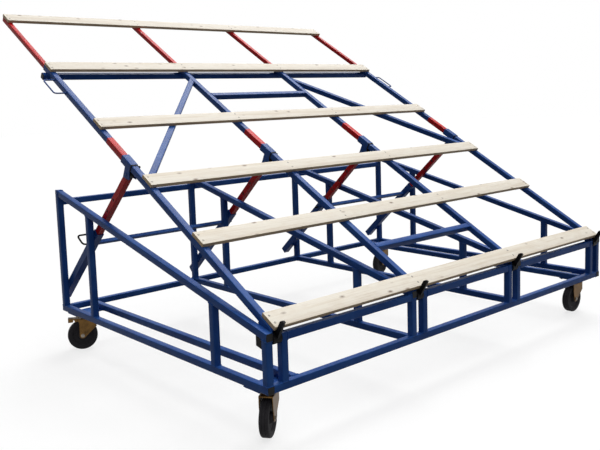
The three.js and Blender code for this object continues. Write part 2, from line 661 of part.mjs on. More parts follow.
function caster({ name, side, end, trail, brake }) {
  const group = new THREE.Group();
  group.position.set(side * casterX, end * casterY, 0);
  group.rotation.z = THREE.MathUtils.degToRad(trail);
  cart.add(group);
  const sides = [-1, 1].map((face) => {
    const y = face < 0 ? [-forkOuter, -forkInner] : [forkInner, forkOuter];
    return plateAlong(forkSide(brake), y);
  });
  const crown = block(
    [-FORK_REAR_REACH, forkFront(brake)],
    [-forkOuter, forkOuter],
    [crownBottom, crownBottom + CROWN_THICKNESS],
  );
  const headTop = RAIL_UNDERSIDE - CASTER_PLATE - SLIDE_PLAY;
  const head = rodUpright(HEAD_RADIUS, [crownBottom, headTop], 0, 0);
  const boltEnd = forkOuter + AXLE_HEAD;
  const axle = rodAlong(AXLE_RADIUS, [-boltEnd, boltEnd], TRAIL, WHEEL_RADIUS);
  const boltHeads = [-1, 1].map((face) => {
    const span = ordered(face * (forkOuter - WELD), face * boltEnd);
    return rodAlong(AXLE_HEAD_RADIUS, span, TRAIL, WHEEL_RADIUS, HEX_SIDES);
  });
  const fork = weld(...sides, crown, head, axle, ...boltHeads);
  const pedalHole = rodAlong(
    PEDAL_PIN_RADIUS + SLIDE_PLAY, [-boltEnd, boltEnd], pedalX, pedalZ, HOLE_SIDES,
  );
  piece(group, `caster_fork_${name}`, brake ? cut(fork, pedalHole) : fork, GOLD_ZINC);
  const rolling = piece(group, `caster_wheel_${name}`, wheel(), RUBBER);
  rolling.position.set(TRAIL, 0, WHEEL_RADIUS);
  if (brake) {
    piece(group, `brake_pedal_${name}`, brakePedal(), GOLD_ZINC);
  }
}

// Wheel profile of radius and distance along the axle, turned about the axle
function wheel() {
  const half = WHEEL_WIDTH / 2;
  const rim = WHEEL_RADIUS - TYRE_DEPTH;
  const bore = AXLE_RADIUS + SLIDE_PLAY;
  const upper = [
    [WHEEL_RADIUS, half - TYRE_ROUND],
    [WHEEL_RADIUS - TYRE_ROUND, half],
    [rim, half],
    [rim - TYRE_ROUND, WHEEL_WEB / 2],
    [HUB_RADIUS + TYRE_ROUND, WHEEL_WEB / 2],
    [HUB_RADIUS, hubHalf],
    [bore, hubHalf],
  ];
  const lower = upper.map(([r, y]) => [r, -y]).reverse();
  const ring = [...lower, ...upper, lower[0]];
  const profile = ring.map(([r, y]) => new THREE.Vector2(r, y));
  return new THREE.LatheGeometry(profile, WHEEL_SIDES);
}

// Brake pedal: a lever that turns on stub pins in the fork's ears, with a shoe above the tyre
function brakePedal() {
  const tip = pedalX + PEDAL_LENGTH;
  const half = PEDAL_THICKNESS;
  const lever = new THREE.Shape();
  lever.absarc(pedalX, pedalZ, half, Math.PI / 2, Math.PI * 1.5, false);
  lever.lineTo(pedalX + SHOE_LENGTH / 4, pedalZ - SHOE_DROP);
  lever.lineTo(pedalX + SHOE_LENGTH, pedalZ - SHOE_DROP);
  lever.lineTo(pedalX + SHOE_LENGTH * 1.5, pedalZ);
  lever.lineTo(tip, pedalZ + PEDAL_RISE - PEDAL_THICKNESS);
  lever.lineTo(tip, pedalZ + PEDAL_RISE);
  lever.lineTo(pedalX + SHOE_LENGTH * 1.5, pedalZ + half);
  lever.closePath();
  const plate = plateAlong(lever, about(0, PEDAL_WIDTH));
  const pins = rodAlong(PEDAL_PIN_RADIUS, [-forkOuter, forkOuter], pedalX, pedalZ, HOLE_SIDES);
  return weld(plate, pins);
}

TRUSSES.forEach(sideFrame);
baseRails();
guidePair("strut_guides_left", [FIRST, SECOND]);
guidePair("strut_guides_right", [THIRD, LAST]);
TRUSSES.forEach(strut);
TRUSSES.forEach(lockPin);
TRUSSES.forEach(tableBeam);
tableBracing();
SLAT_STARTS.forEach((start, i) => slat(`slat_${i + 1}`, start));
slat("top_slat", TOP_SLAT_START);
TRUSSES.forEach(stopHook);
TRUSSES.forEach(extensionArm);
TRUSSES.forEach(beamCollar);
CASTERS.forEach(caster);

// The origin lies on the floor under the middle of the cart's own box
const extent = new THREE.Box3().setFromObject(cart, true);
cart.position.y = -(extent.min.y + extent.max.y) / 2;

export default cart;
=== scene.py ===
import json
import logging
from dataclasses import dataclass, field
from enum import Enum
from math import cos, hypot, pi, radians, sin
from typing import ClassVar

import bmesh
import bpy
import numpy as np
from mathutils import Matrix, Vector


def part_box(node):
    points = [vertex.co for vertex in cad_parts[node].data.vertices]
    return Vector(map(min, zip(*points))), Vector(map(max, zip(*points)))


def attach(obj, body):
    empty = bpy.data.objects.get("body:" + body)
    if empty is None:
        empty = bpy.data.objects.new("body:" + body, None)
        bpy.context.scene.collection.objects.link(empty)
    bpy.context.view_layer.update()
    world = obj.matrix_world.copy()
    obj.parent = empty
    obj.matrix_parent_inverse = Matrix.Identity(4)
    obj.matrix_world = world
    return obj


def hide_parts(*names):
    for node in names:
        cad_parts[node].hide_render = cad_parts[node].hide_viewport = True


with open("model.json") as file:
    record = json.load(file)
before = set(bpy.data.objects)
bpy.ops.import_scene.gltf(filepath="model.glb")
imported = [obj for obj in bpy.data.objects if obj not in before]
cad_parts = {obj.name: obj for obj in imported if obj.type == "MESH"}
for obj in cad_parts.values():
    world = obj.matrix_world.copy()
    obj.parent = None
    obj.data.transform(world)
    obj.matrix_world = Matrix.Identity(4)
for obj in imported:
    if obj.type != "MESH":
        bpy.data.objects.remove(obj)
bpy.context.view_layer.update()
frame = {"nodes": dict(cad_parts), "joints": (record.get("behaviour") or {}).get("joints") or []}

LOG = logging.getLogger("sheet_goods_cart")

Array = np.ndarray
Socket = bpy.types.NodeSocket
MM = 0.001
ACROSS = np.array([1.0, 0.0, 0.0])
DEEP = np.array([0.0, 1.0, 0.0])
UP = np.array([0.0, 0.0, 1.0])
LEVEL = ACROSS + DEEP
STEEP = 0.9
NUMBERS = range(1, 5)
END_NUMBERS = (1, 4)
SIDES = ("left", "right")
WAYS = (-1, 1)


class Slot(Enum):
    """Material slots of the record."""

    BLUE = "blue_paint"
    RED = "red_paint"
    PINE = "pine"
    BLACK = "black_steel"
    RUBBER = "rubber"
    ZINC = "gold_zinc"


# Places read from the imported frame


def unit(vectors: Array) -> Array:
    """A vector, or each row of an array of vectors, at length one."""
    return vectors / np.linalg.norm(vectors, axis=-1, keepdims=True)


def joint_vector(name: str, key: str) -> Array:
    """Place or axis of the record's joint of that name."""
    return np.array(next(j for j in frame["joints"] if j["name"] == name)[key], float)


def box_middle(node: str) -> Array:
    """Middle of a CAD node's box."""
    low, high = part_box(node)
    return (np.array(low) + np.array(high)) / 2


def node_points(node: str) -> Array:
    """All vertices of a CAD node.

    Args:
        node: the CAD node's name.

    Returns:
        An array of rows x, y, z.
    """
    mesh = frame["nodes"][node].data
    flat = np.empty(len(mesh.vertices) * 3)
    mesh.vertices.foreach_get("co", flat)
    return flat.reshape(-1, 3)


@dataclass(frozen=True)
class Layout:
    """Planes and axes of the cart, taken from the frame."""

    truss_x: list[float]
    beam_x: list[float]
    post_x: list[float]
    front: float
    back: float
    rail_bottom: float
    hinge: Array
    slope: Array
    rise: Array
    strut_axis: Array

    @classmethod
    def read(cls) -> "Layout":
        """Measures the frame's nodes and joints."""
        truss_x = [box_middle(f"side_frame_{n}")[0] for n in NUMBERS]
        beam_x = [box_middle(f"stop_hook_{n}")[0] for n in NUMBERS]
        low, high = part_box("side_frame_1")
        slope = unit(joint_vector("extension_slide", "axis"))
        return cls(
            truss_x=truss_x,
            beam_x=beam_x,
            post_x=[2 * b - t for b, t in zip(beam_x, truss_x)],
            front=low.y,
            back=high.y,
            rail_bottom=low.z,
            hinge=joint_vector("table_tilt", "pos_m"),
            slope=slope,
            rise=np.cross(ACROSS, slope),
            strut_axis=unit(joint_vector("strut_slide", "axis")),
        )

    def on_table(self, x: float, along: float, height: float) -> Array:
        """Point at a distance along the table and a height square to it."""
        place = np.array([x, self.hinge[1], self.hinge[2]])
        return place + along * self.slope + height * self.rise

    def run(self, x: float, span: tuple, height: float) -> list[Array]:
        """Both ends of a line along the table."""
        return [self.on_table(x, along, height) for along in span]

    def crossing(self, span: tuple, along: float, height: float) -> list[Array]:
        """Both ends of a line across the table."""
        return [self.on_table(x, along, height) for x in span]

    def table_box(self, node: str) -> tuple[Array, Array]:
        """Lowest and highest distance of a node along the table and square to it."""
        places = (node_points(node) - self.hinge) @ np.stack([self.slope, self.rise], -1)
        return places.min(0), places.max(0)


# Surfaces as arrays


@dataclass
class Surface:
    """Points and faces of one closed form."""

    points: Array
    faces: list


def loft(rings: Array, closed: bool = False) -> Surface:
    """Skin over rings of equal count: quads join ring i to ring i+1, flat caps close the ends.

    Args:
        rings: array of rings by points by 3.
        closed: whether the last ring joins the first, as on a hollow tube or a hoop.

    Returns:
        The closed surface.
    """
    count, sides = rings.shape[:2]
    i = np.arange(count if closed else count - 1)[:, None]
    j = np.arange(sides)[None, :]
    after = (i + 1) % count
    beside = (j + 1) % sides
    corners = [i * sides + j, i * sides + beside, after * sides + beside, after * sides + j]
    faces = np.stack(corners, -1).reshape(-1, 4).tolist()
    if not closed:
        faces.append(list(range(sides))[::-1])
        faces.append(list(range((count - 1) * sides, count * sides)))
    return Surface(rings.reshape(-1, 3), faces)


def rounded_rectangle(width: float, height: float, radius: float, steps: int = 4) -> Array:
    """Rectangle with quarter-circle corners, counted against the clock.

    Args:
        width: size along u.
        height: size along v.
        radius: radius of the corners.
        steps: straight steps of a corner.

    Returns:
        Points u, v.
    """
    angles = np.linspace(0, pi / 2, steps + 1)
    arc = np.stack([np.cos(angles), np.sin(angles)], -1) * radius
    turns = [((1, 1), arc), ((-1, 1), arc[::-1]), ((-1, -1), arc), ((1, -1), arc[::-1])]
    half = np.array([width / 2 - radius, height / 2 - radius])
    return np.concatenate([np.array(s) * (half + a) for s, a in turns])


def spaced_loop(outline: Array, count: int) -> Array:
    """Closed outline resampled at even distances along its own length.

    Args:
        outline: points of the loop.
        count: points wanted.

    Returns:
        The evenly spaced points.
    """
    closed = np.concatenate([outline, outline[:1]])
    steps = np.linalg.norm(np.diff(closed, axis=0), axis=1)
    run = np.concatenate([[0], np.cumsum(steps)])
    at = np.linspace(0, run[-1], count, endpoint=False)
    return np.stack([np.interp(at, run, closed[:, k]) for k in range(closed.shape[1])], -1)


def arc_points(centre: tuple, radius: float, start: float, end: float, steps: int) -> list:
    """Points u, v on an arc about a centre between two angles."""
    turns = np.linspace(start, end, steps + 1)
    return (np.array(centre) + radius * np.stack([np.cos(turns), np.sin(turns)], -1)).tolist()


def circle(u: Array, v: Array, sides: int) -> Array:
    """Unit circle in the plane of two directions: cosine times u plus sine times v."""
    angles = np.linspace(0, 2 * pi, sides, endpoint=False)[:, None]
    return np.cos(angles) * u[..., None, :] + np.sin(angles) * v


def hoop(path: Array, thickness: Array, sides: int = 7) -> Surface:
    """Round bar along a closed flat path: circles square to the path's own direction.

    Args:
        path: closed path points in one plane, n by 3.
        thickness: the bar's radius at each path point.
        sides: points of each circle.

    Returns:
        The closed hoop.
    """
    ahead = unit(np.roll(path, -1, 0) - np.roll(path, 1, 0))
    third = len(path) // 3
    flat = unit(np.cross(path[third] - path[0], path[2 * third] - path[0]))
    rings = circle(np.cross(ahead, flat), flat, sides) * thickness[:, None, None]
    return loft(path[:, None] + rings, closed=True)


def rounded_path(corners: list, bend: float, steps: int = 8) -> Array:
    """Straight runs through corners, each inner corner replaced by a quadratic curve.

    Args:
        corners: points of the path.
        bend: distance from a corner at which its curve starts and ends.
        steps: straight steps of a curve.

    Returns:
        The path's points.
    """
    corners = np.array(corners, float)
    points = [corners[:1]]
    t = np.linspace(0, 1, steps + 1)[:, None]
    for before, corner, after in zip(corners, corners[1:], corners[2:]):
        start, end = (corner + unit(other - corner) * bend for other in (before, after))
        points.append((1 - t) ** 2 * start + 2 * t * (1 - t) * corner + t ** 2 * end)
    return np.concatenate([*points, corners[-1:]])


def rod(path: Array, radius: float, flat: Array, ease: float, sides: int = 16) -> Surface:
    """Round rod along an open path in a plane, with chamfered ends.

    Args:
        path: path points, n by 3.
        radius: the rod's radius.
        flat: unit normal of the plane the path lies in.
        ease: size of the chamfer at both ends.
        sides: points of each circle.

    Returns:
        The closed rod.
    """
    path = np.asarray(path, float)
    first = path[0] + unit(path[1] - path[0]) * ease
    last = path[-1] + unit(path[-2] - path[-1]) * ease
    path = np.concatenate([path[:1], first[None], path[1:-1], last[None], path[-1:]])
    radii = np.full(len(path), radius)
    radii[[0, -1]] = radius - ease
    out = np.cross(unit(np.gradient(path, axis=0)), flat)
    return loft(path[:, None] + circle(out, flat, sides) * radii[:, None, None])


def turned(
    profile: list, centre: Array, axis: Array, sides: int = 48, closed: bool = False
) -> Surface:
    """Profile of radius and distance along an axis, turned about that axis.

    Args:
        profile: pairs of radius and distance along the axis.
        centre: point on the axis at distance zero.
        axis: unit direction of the axis.
        sides: points round the axis.
        closed: whether the profile closes on itself, as on a ring.

    Returns:
        The turned surface.
    """
    shape = np.array(profile, float)[:, :, None, None]
    rings = centre + shape[:, 1] * axis + shape[:, 0] * circle(*cross_axes(axis), sides)
    return loft(rings, closed)


def cross_axes(axis: Array) -> tuple[Array, Array]:
    """Two unit directions square to an axis and to each other."""
    u = unit(np.cross(UP if abs(axis[2]) < STEEP else ACROSS, axis))
    return u, np.cross(axis, u)


def plate(outline: list, origin: Array, u: Array, v: Array, thick: float, ease: float) -> Surface:
    """Flat plate: its outline carried along u cross v, both rims eased by a small chamfer.

    Args:
        outline: points u, v of the edge.
        origin: zero of the outline, in the plate's first face.
        u: unit direction of the outline's first coordinate.
        v: unit direction of its second.
        thick: thickness along u cross v.
        ease: chamfer of both rims.

    Returns:
        The closed plate.
    """
    edge = np.array(outline, float)
    ahead = unit(np.roll(edge, -1, 0) - np.roll(edge, 1, 0))
    turn = np.sum(edge[:, 0] * np.roll(edge[:, 1], -1) - np.roll(edge[:, 0], -1) * edge[:, 1])
    inward = np.stack([-ahead[:, 1], ahead[:, 0]], -1) * np.sign(turn)
    drawn_in = edge + inward * ease
    layers = [(drawn_in, 0.0), (edge, ease), (edge, thick - ease), (drawn_in, thick)]
    rings = [origin + a[:, :1] * u + a[:, 1:] * v + h * np.cross(u, v) for a, h in layers]
    return loft(np.stack(rings))


@dataclass(frozen=True)
class Bar:
    """Rolled square bar or tube between two points, each end cut by a plane."""

    start: Array
    end: Array
    width: float
    height: float
    up: Array
    cut_start: Array | None = None
    cut_end: Array | None = None
    wall: float = 0.0
    radius: float = 4 * MM
    ease: float = 0.0
    bead_points: int = 96
    bead_ripples: int = 24
    bead_depth: float = 0.16

    @property
    def ahead(self) -> Array:
        """Unit direction from start to end."""
        return unit(self.end - self.start)

    def outline(self, inset: float, radius: float) -> Array:
        """Section drawn in by an inset on all sides."""
        return rounded_rectangle(self.width - 2 * inset, self.height - 2 * inset, radius)

    def ring(self, outline: Array, at_end: bool, inset: float = 0.0) -> Array:
        """Section outline slid along the bar onto the plane that cuts the end.

        Args:
            outline: section points, sideways and up.
            at_end: whether the ring lies at the bar's end or its start.
            inset: distance from that end into the bar.

        Returns:
            The ring's points.
        """
        ahead = self.ahead
        side = unit(np.cross(ahead, self.up))
        origin = self.end - inset * ahead if at_end else self.start + inset * ahead
        normal = self.cut_end if at_end else self.cut_start
        normal = ahead if normal is None else normal
        offset = outline[:, :1] * side + outline[:, 1:] * np.cross(side, ahead)
        slide = -(offset @ normal) / (ahead @ normal)
        return origin + offset + slide[:, None] * ahead

    def surface(self) -> Surface:
        """Skin of the bar: hollow with open ends if it has a wall, else solid with eased ends."""
        outer = self.outline(0, self.radius)
        if self.wall:
            inner = self.outline(self.wall, self.radius / 2)
            ends = [(outer, False), (outer, True), (inner, True), (inner, False)]
            return loft(np.stack([self.ring(*end) for end in ends]), closed=True)
        rings = [self.ring(outer, at_end, self.ease) for at_end in (False, True)]
        if self.ease:
            small = self.outline(self.ease, self.radius)
            rings = [self.ring(small, False), *rings, self.ring(small, True)]
        return loft(np.stack(rings))

    def beads(self, *ends: bool, size: float = 3.2 * MM) -> list[Surface]:
        """Weld beads round the ends: hoops whose radius ripples evenly along the seam.

        Args:
            ends: True for the bar's end, False for its start; both where none is given.
            size: mean radius of a bead.

        Returns:
            The beads.
        """
        outline = spaced_loop(self.outline(0, self.radius), self.bead_points)
        phase = np.arange(self.bead_points) * (2 * pi * self.bead_ripples / self.bead_points)
        thickness = size * (1 + self.bead_depth * np.sin(phase))
        return [hoop(self.ring(outline, at_end), thickness) for at_end in ends or (False, True)]


# Profiles as shares of a radius and of a height

WASHER = (0.3, 0), (1.35, 0), (1.35, 1), (0.3, 1)
NUT = (0.98, 0), (1, 0.1), (1, 0.78), (0.86, 1), (0.3, 1)
RACE_FOOT = (0.2, -1), (0.82, -1)
RACE_LOW = (0.86, 0.25), (1, 0.4), (1, 0.62), (0.9, 0.68)
RACE_TOP = (0.9, 0.8), (0.98, 0.86), (0.98, 1), (0.2, 1)


def scaled(profile: tuple, radius: float, height: float, lift: float = 0.0) -> list:
    """Profile of shares at a real radius and height, lifted along the axis."""
    return [(share * radius, lift + rise * height) for share, rise in profile]


def hex_bolt(
    centre: Array, axis: Array, size: float, head: float, washer: float = 1.6 * MM
) -> list[Surface]:
    """Hexagon head on a round washer, both turned about the bolt's axis.

    Args:
        centre: point on the surface that the washer lies on.
        axis: unit direction away from that surface.
        size: distance from the axis to a corner of the head.
        head: height of the head.
        washer: thickness of the washer.

    Returns:
        The washer's and the head's surfaces.
    """
    disc = turned(scaled(WASHER, size, washer), centre, axis, sides=24)
    return [disc, turned(scaled(NUT, size, head, washer), centre, axis, sides=6)]


# Finishes


@dataclass(frozen=True)
class Noise:
    """Noise on Object coordinates: scale, octaves, weight of the finer ones, stretch by axis."""

    size: float
    detail: float
    roughness: float
    stretch: tuple = (1, 1, 1)


class Nodes:
    """A node tree with short calls that add and link nodes."""

    mix_colours = slice(6, 8)
    mix_result = 2

    def __init__(
        self, owner: bpy.types.Material | bpy.types.World, shader: str = "Principled BSDF"
    ) -> None:
        """Starts the tree of a material or a world.

        Args:
            owner: the material or world.
            shader: name of its shader node.
        """
        owner.use_nodes = True
        self.owner = owner
        self.tree = owner.node_tree
        self.shader = self.tree.nodes[shader]

    def give(self, target: Socket, value: Socket | float | tuple) -> None:
        """Gives an input its source, if the value is a socket, or else a plain value.

        Args:
            target: the input.
            value: the source or the value.
        """
        if isinstance(value, Socket):
            self.tree.links.new(value, target)
        else:
            target.default_value = value

    def fill(self, node: bpy.types.Node, settings: dict) -> bpy.types.Node:
        """Fills a node's inputs, or else its properties, by name with _ for a space.

        Args:
            node: the node.
            settings: a value or a source for each name.

        Returns:
            The node.
        """
        for key, value in settings.items():
            label = key.replace("_", " ")
            if label in node.inputs:
                self.give(node.inputs[label], value)
            else:
                setattr(node, key, value)
        return node

    def add(self, kind: str, **settings: object) -> bpy.types.Node:
        """Adds a shader node and fills it."""
        return self.fill(self.tree.nodes.new(f"ShaderNode{kind}"), settings)

    def set(self, **settings: object) -> None:
        """Fills the inputs of the tree's own shader."""
        self.fill(self.shader, settings)

    def stretched(self, stretch: tuple) -> Socket:
        """Object coordinates, stretched by axis."""
        place = self.add("TexCoord").outputs["Object"]
        return self.add("Mapping", Vector=place, Scale=stretch).outputs["Vector"]

    def noise(self, noise: Noise) -> Socket:
        """Factor of a noise texture."""
        sizes = {"Scale": noise.size, "Detail": noise.detail, "Roughness": noise.roughness}
        return self.add("TexNoise", Vector=self.stretched(noise.stretch), **sizes).outputs["Fac"]

    def ramp(self, factor: Socket, stops: list) -> Socket:
        """Colour ramp.

        Args:
            factor: socket that picks the place on the ramp.
            stops: pairs of position and either a colour or a grey.

        Returns:
            The colour's socket.
        """
        node = self.add("ValToRGB", Fac=factor)
        band = node.color_ramp.elements
        while len(band) < len(stops):
            band.new(position=0.5)
        for element, (position, tone) in zip(band, stops):
            element.position = position
            element.color = tone if isinstance(tone, tuple) else (tone, tone, tone, 1.0)
        return node.outputs["Color"]

    def spread(self, factor: Socket, low: float, high: float) -> Socket:
        """Maps a factor from 0..1 to low..high."""
        return self.add("MapRange", Value=factor, To_Min=low, To_Max=high).outputs["Result"]

    def blend(self, factor: Socket, first: Socket, second: Socket | tuple) -> Socket:
        """Mixes two colours.

        Args:
            factor: share of the second colour.
            first: the first colour's socket.
            second: the second colour or its socket.

        Returns:
            The mixed colour's socket.
        """
        node = self.add("Mix", data_type="RGBA", Factor=factor)
        for target, colour in zip(node.inputs[self.mix_colours], (first, second)):
            self.give(target, colour)
        return node.outputs[self.mix_result]

    def bump(self, height: Socket, strength: float, distance: float) -> None:
        """Raises the surface by a height in the shader's normal."""
        node = self.add("Bump", Strength=strength, Distance=distance, Height=height)
        self.set(Normal=node.outputs["Normal"])

    def seen_plainly(self) -> Socket:
        """Factor of 1 for rays from the camera, in gloss or through glass, else 0."""
        rays = self.add("LightPath").outputs
        seen = rays["Is Camera Ray"]
        for ray in ("Is Glossy Ray", "Is Transmission Ray"):
            either = self.add("Math", operation="MAXIMUM")
            for target, source in zip(either.inputs, (seen, rays[ray])):
                self.give(target, source)
            seen = either.outputs[0]
        return seen


def linear(*screen: int) -> tuple[float, ...]:
    """Screen colour of 0 to 255 as linear light: the curve of the sRGB standard.

    Args:
        screen: red, green and blue.

    Returns:
        The three linear shares and an opaque fourth.
    """
    share = np.array(screen) / 255
    light = np.where(share <= 0.04045, share / 12.92, ((share + 0.055) / 1.055) ** 2.4)
    return *light.tolist(), 1.0


@dataclass(frozen=True)
class Coat:
    """Moulded rubber, plastic or bare metal: drifts of tone, uneven gloss and a fine grain."""

    name: str
    slot: Slot
    tones: tuple
    roughness: tuple
    metallic: float = 0.0
    gloss: float = 0.5
    stops: tuple = (0.32, 0.7)
    drift: Noise = Noise(22.0, 5.0, 0.6)
    scuff: Noise = Noise(22.0, 5.0, 0.6)
    grain: Noise = Noise(260.0, 3.0, 0.6)
    relief: tuple = (0.12, 0.3 * MM)

    def build(self) -> bpy.types.Material:
        """Makes the material."""
        nodes = Nodes(bpy.data.materials.new(self.name))
        tones = [(stop, linear(*tone)) for stop, tone in zip(self.stops, self.tones)]
        nodes.set(Base_Color=nodes.ramp(nodes.noise(self.drift), tones))
        nodes.set(Roughness=nodes.spread(nodes.noise(self.scuff), *self.roughness))
        nodes.bump(nodes.noise(self.grain), *self.relief)
        nodes.set(Metallic=self.metallic, Specular_IOR_Level=self.gloss)
        return nodes.owner


@dataclass(frozen=True)
class Paint(Coat):
    """Sprayed gloss paint on tube: broad drifts of tone, dusty scuffs and fine orange peel."""

    roughness: tuple = (0.3, 0.46)
    gloss: float = 0.07
    stops: tuple = (0.30, 0.52, 0.78)
    drift: Noise = Noise(5.0, 4.0, 0.55)
    scuff: Noise = Noise(38.0, 6.0, 0.7)
    grain: Noise = Noise(420.0, 2.0, 0.5)
    relief: tuple = (0.06, 0.4 * MM)


@dataclass(frozen=True)
class Plated(Coat):
    """Zinc-plated steel: as a coat, with a coarse and shallow grain."""

    grain: Noise = Noise(90.0, 3.0, 0.6)
    relief: tuple = (0.05, 0.3 * MM)


@dataclass(frozen=True)
class Pine:
    """Planed pale softwood: grain drawn along the plank, late-wood streaks and a few knots."""

    name: str
    slot: Slot
    pale: tuple
    warm: tuple
    streak: tuple
    knot: tuple
    sawn: tuple
    broad: Noise = Noise(1.6, 3.0, 0.5, (0.7, 14, 14))
    patch: Noise = Noise(2.2, 6.0, 0.68, (4, 10, 10))
    fine: Noise = Noise(2.4, 5.0, 0.62, (1.2, 90, 90))
    tone_stops: tuple = (0.32, 0.5, 0.75)
    sawn_stops: tuple = (0.34, 0.8)
    patch_stops: tuple = ((0.46, 0), (0.66, 0.62))
    streak_stops: tuple = ((0.52, 0), (0.72, 0.55))
    knot_stops: tuple = ((0.05, 0.9), (0.1, 0.4), (0.17, 0))
    knot_spacing: tuple = (6.5, 13, 13)
    roughness: tuple = (0.52, 0.78)
    relief: tuple = (0.25, 0.5 * MM)
    sawn_mark: str = "sawn"

    def build(self) -> bpy.types.Material:
        """Makes the material: tone, warm patches, streaks and knots, and sawn faces by a mark."""
        nodes = Nodes(bpy.data.materials.new(self.name))
        broad, fine = nodes.noise(self.broad), nodes.noise(self.fine)
        tones = zip(self.tone_stops, (self.warm, self.pale, self.pale))
        tone = nodes.ramp(broad, list(tones))
        patches = nodes.ramp(nodes.noise(self.patch), self.patch_stops)
        tone = nodes.blend(patches, tone, self.warm)
        tone = nodes.blend(nodes.ramp(fine, self.streak_stops), tone, self.streak)
        cells = nodes.stretched(self.knot_spacing)
        near = nodes.add("TexVoronoi", Vector=cells, Scale=1.0, Randomness=1.0).outputs["Distance"]
        tone = nodes.blend(nodes.ramp(near, self.knot_stops), tone, self.knot)
        saw_marks = nodes.ramp(fine, list(zip(self.sawn_stops, (self.sawn, self.knot))))
        cut = nodes.add("Attribute", attribute_name=self.sawn_mark)
        nodes.set(Base_Color=nodes.blend(cut.outputs["Fac"], tone, saw_marks))
        nodes.set(Roughness=nodes.spread(fine, *self.roughness))
        nodes.bump(fine, *self.relief)
        return nodes.owner


Finish = Coat | Pine
BLUE = Paint("blue_gloss_paint", Slot.BLUE, ((30, 66, 130), (38, 78, 146), (52, 95, 163)))
RED = Paint("red_gloss_paint", Slot.RED, ((176, 20, 24), (204, 28, 32), (216, 44, 46)))
# black paint; also the colour of the painted-shade pieces at the hinge, the collars' low ends and
# the struts' heads
BLACK = Paint("black_paint", Slot.BLACK, ((9, 9, 11), (14, 14, 17), (24, 24, 28)), (0.4, 0.56))
RUBBER = Coat("wheel_rubber", Slot.RUBBER, ((26, 25, 28), (50, 48, 52)), (0.62, 0.85), gloss=0.2)
# black plastic; also the colour of the painted-shade rims round the struts' pin holes
CAP_AND_SHADE = Coat("cap_plastic", Slot.BLACK, ((6, 6, 8), (14, 14, 16)), (0.45, 0.6), gloss=0.15)
NAIL = Coat("dull_steel", Slot.BLACK, ((34, 30, 28), (58, 52, 47)), (0.5, 0.65), 0.2)
ZINC = Plated("yellow_zinc", Slot.ZINC, ((70, 51, 26), (114, 84, 43)), (0.3, 0.52), 0.85)
STEEL = Plated("bright_zinc", Slot.BLACK, ((98, 93, 86), (144, 138, 130)), (0.25, 0.45), 0.9)
PINE = Pine(
    "planed_pine",
    Slot.PINE,
    pale=linear(228, 221, 207),
    warm=linear(217, 206, 188),
    streak=linear(186, 166, 140),
    knot=linear(104, 76, 54),
    sawn=linear(230, 206, 168),
)


def put(
    name: str, data: bpy.types.ID, axes: tuple = (ACROSS, DEEP, UP), place: tuple = (0, 0, 0)
) -> bpy.types.Object:
    """Links a new object to the scene.

    Args:
        name: the object's name.
        data: its mesh, camera or light.
        axes: unit directions of its own x, y and z.
        place: its position.

    Returns:
        The object.
    """
    matrix = np.eye(4)
    matrix[:3] = np.stack([*axes, place], -1)
    thing = bpy.data.objects.new(name, data)
    thing.matrix_world = Matrix(matrix.tolist())
    bpy.context.scene.collection.objects.link(thing)
    return thing


@dataclass
class Workshop:
    """Makes pieces with their finish and body, and keeps one material per finish."""

    crease: float = 34.0
    join: float = 0.02 * MM
    bevel_angle: float = 50.0
    bevel_steps: int = 2
    made: dict[str, bpy.types.Material] = field(default_factory=dict)

    def material(self, finish: Finish) -> bpy.types.Material:
        """The finish's material, made on first use."""
        if finish.name not in self.made:
            self.made[finish.name] = finish.build()
        return self.made[finish.name]

    def piece(
        self,
        name: str,
        surfaces: list[Surface],
        finish: Finish,
        body: str,
        node: str = "",
        slot: Slot | None = None,
        crease: float = 0.0,
    ) -> bpy.types.Object:
        """Joins surfaces into one mesh object that rides on a body.

        Args:
            name: the piece's name.
            surfaces: closed forms that make the piece.
            finish: finish of the whole piece.
            body: CAD body that it rides on.
            node: CAD node that it replaces, if any.
            slot: record slot, where it isn't the finish's own; not used.
            crease: angle in degrees above which an edge stays sharp, if not the usual one.

        Returns:
            The object.
        """
        starts = np.cumsum([0] + [len(s.points) for s in surfaces])
        points = np.concatenate([s.points for s in surfaces])
        faces = [[k + int(at) for k in f] for s, at in zip(surfaces, starts) for f in s.faces]
        mesh = bpy.data.meshes.new(name)
        mesh.from_pydata(points.tolist(), [], faces)
        shaped = bmesh.new()
        shaped.from_mesh(mesh)
        bmesh.ops.recalc_face_normals(shaped, faces=shaped.faces)
        shaped.to_mesh(mesh)
        shaped.free()
        mesh.shade_smooth()
        mesh.set_sharp_from_angle(angle=radians(crease or self.crease))
        mesh.materials.append(self.material(finish))
        thing = put(name, mesh)
        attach(thing, body)
        if node:
            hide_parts(node)
        LOG.info("%s: %d faces on %s", name, len(faces), body)
        return thing

    def dress_node(self, node: str, finish: Finish, ease: float) -> None:
        """Gives a CAD node its finish and softened edges.

        Args:
            node: the CAD node's name.
            finish: its finish.
            ease: width of the eased edges.
        """
        thing = frame["nodes"][node]
        thing.data.materials.clear()
        thing.data.materials.append(self.material(finish))
        weld = thing.modifiers.new("joined", "WELD")
        weld.merge_threshold = self.join
        soft = thing.modifiers.new("eased", "BEVEL")
        soft.width = ease
        soft.segments = self.bevel_steps
        soft.limit_method = "ANGLE"
        soft.angle_limit = radians(self.bevel_angle)
        LOG.info("%s: CAD node in %s", node, finish.name)


# Sub-assemblies


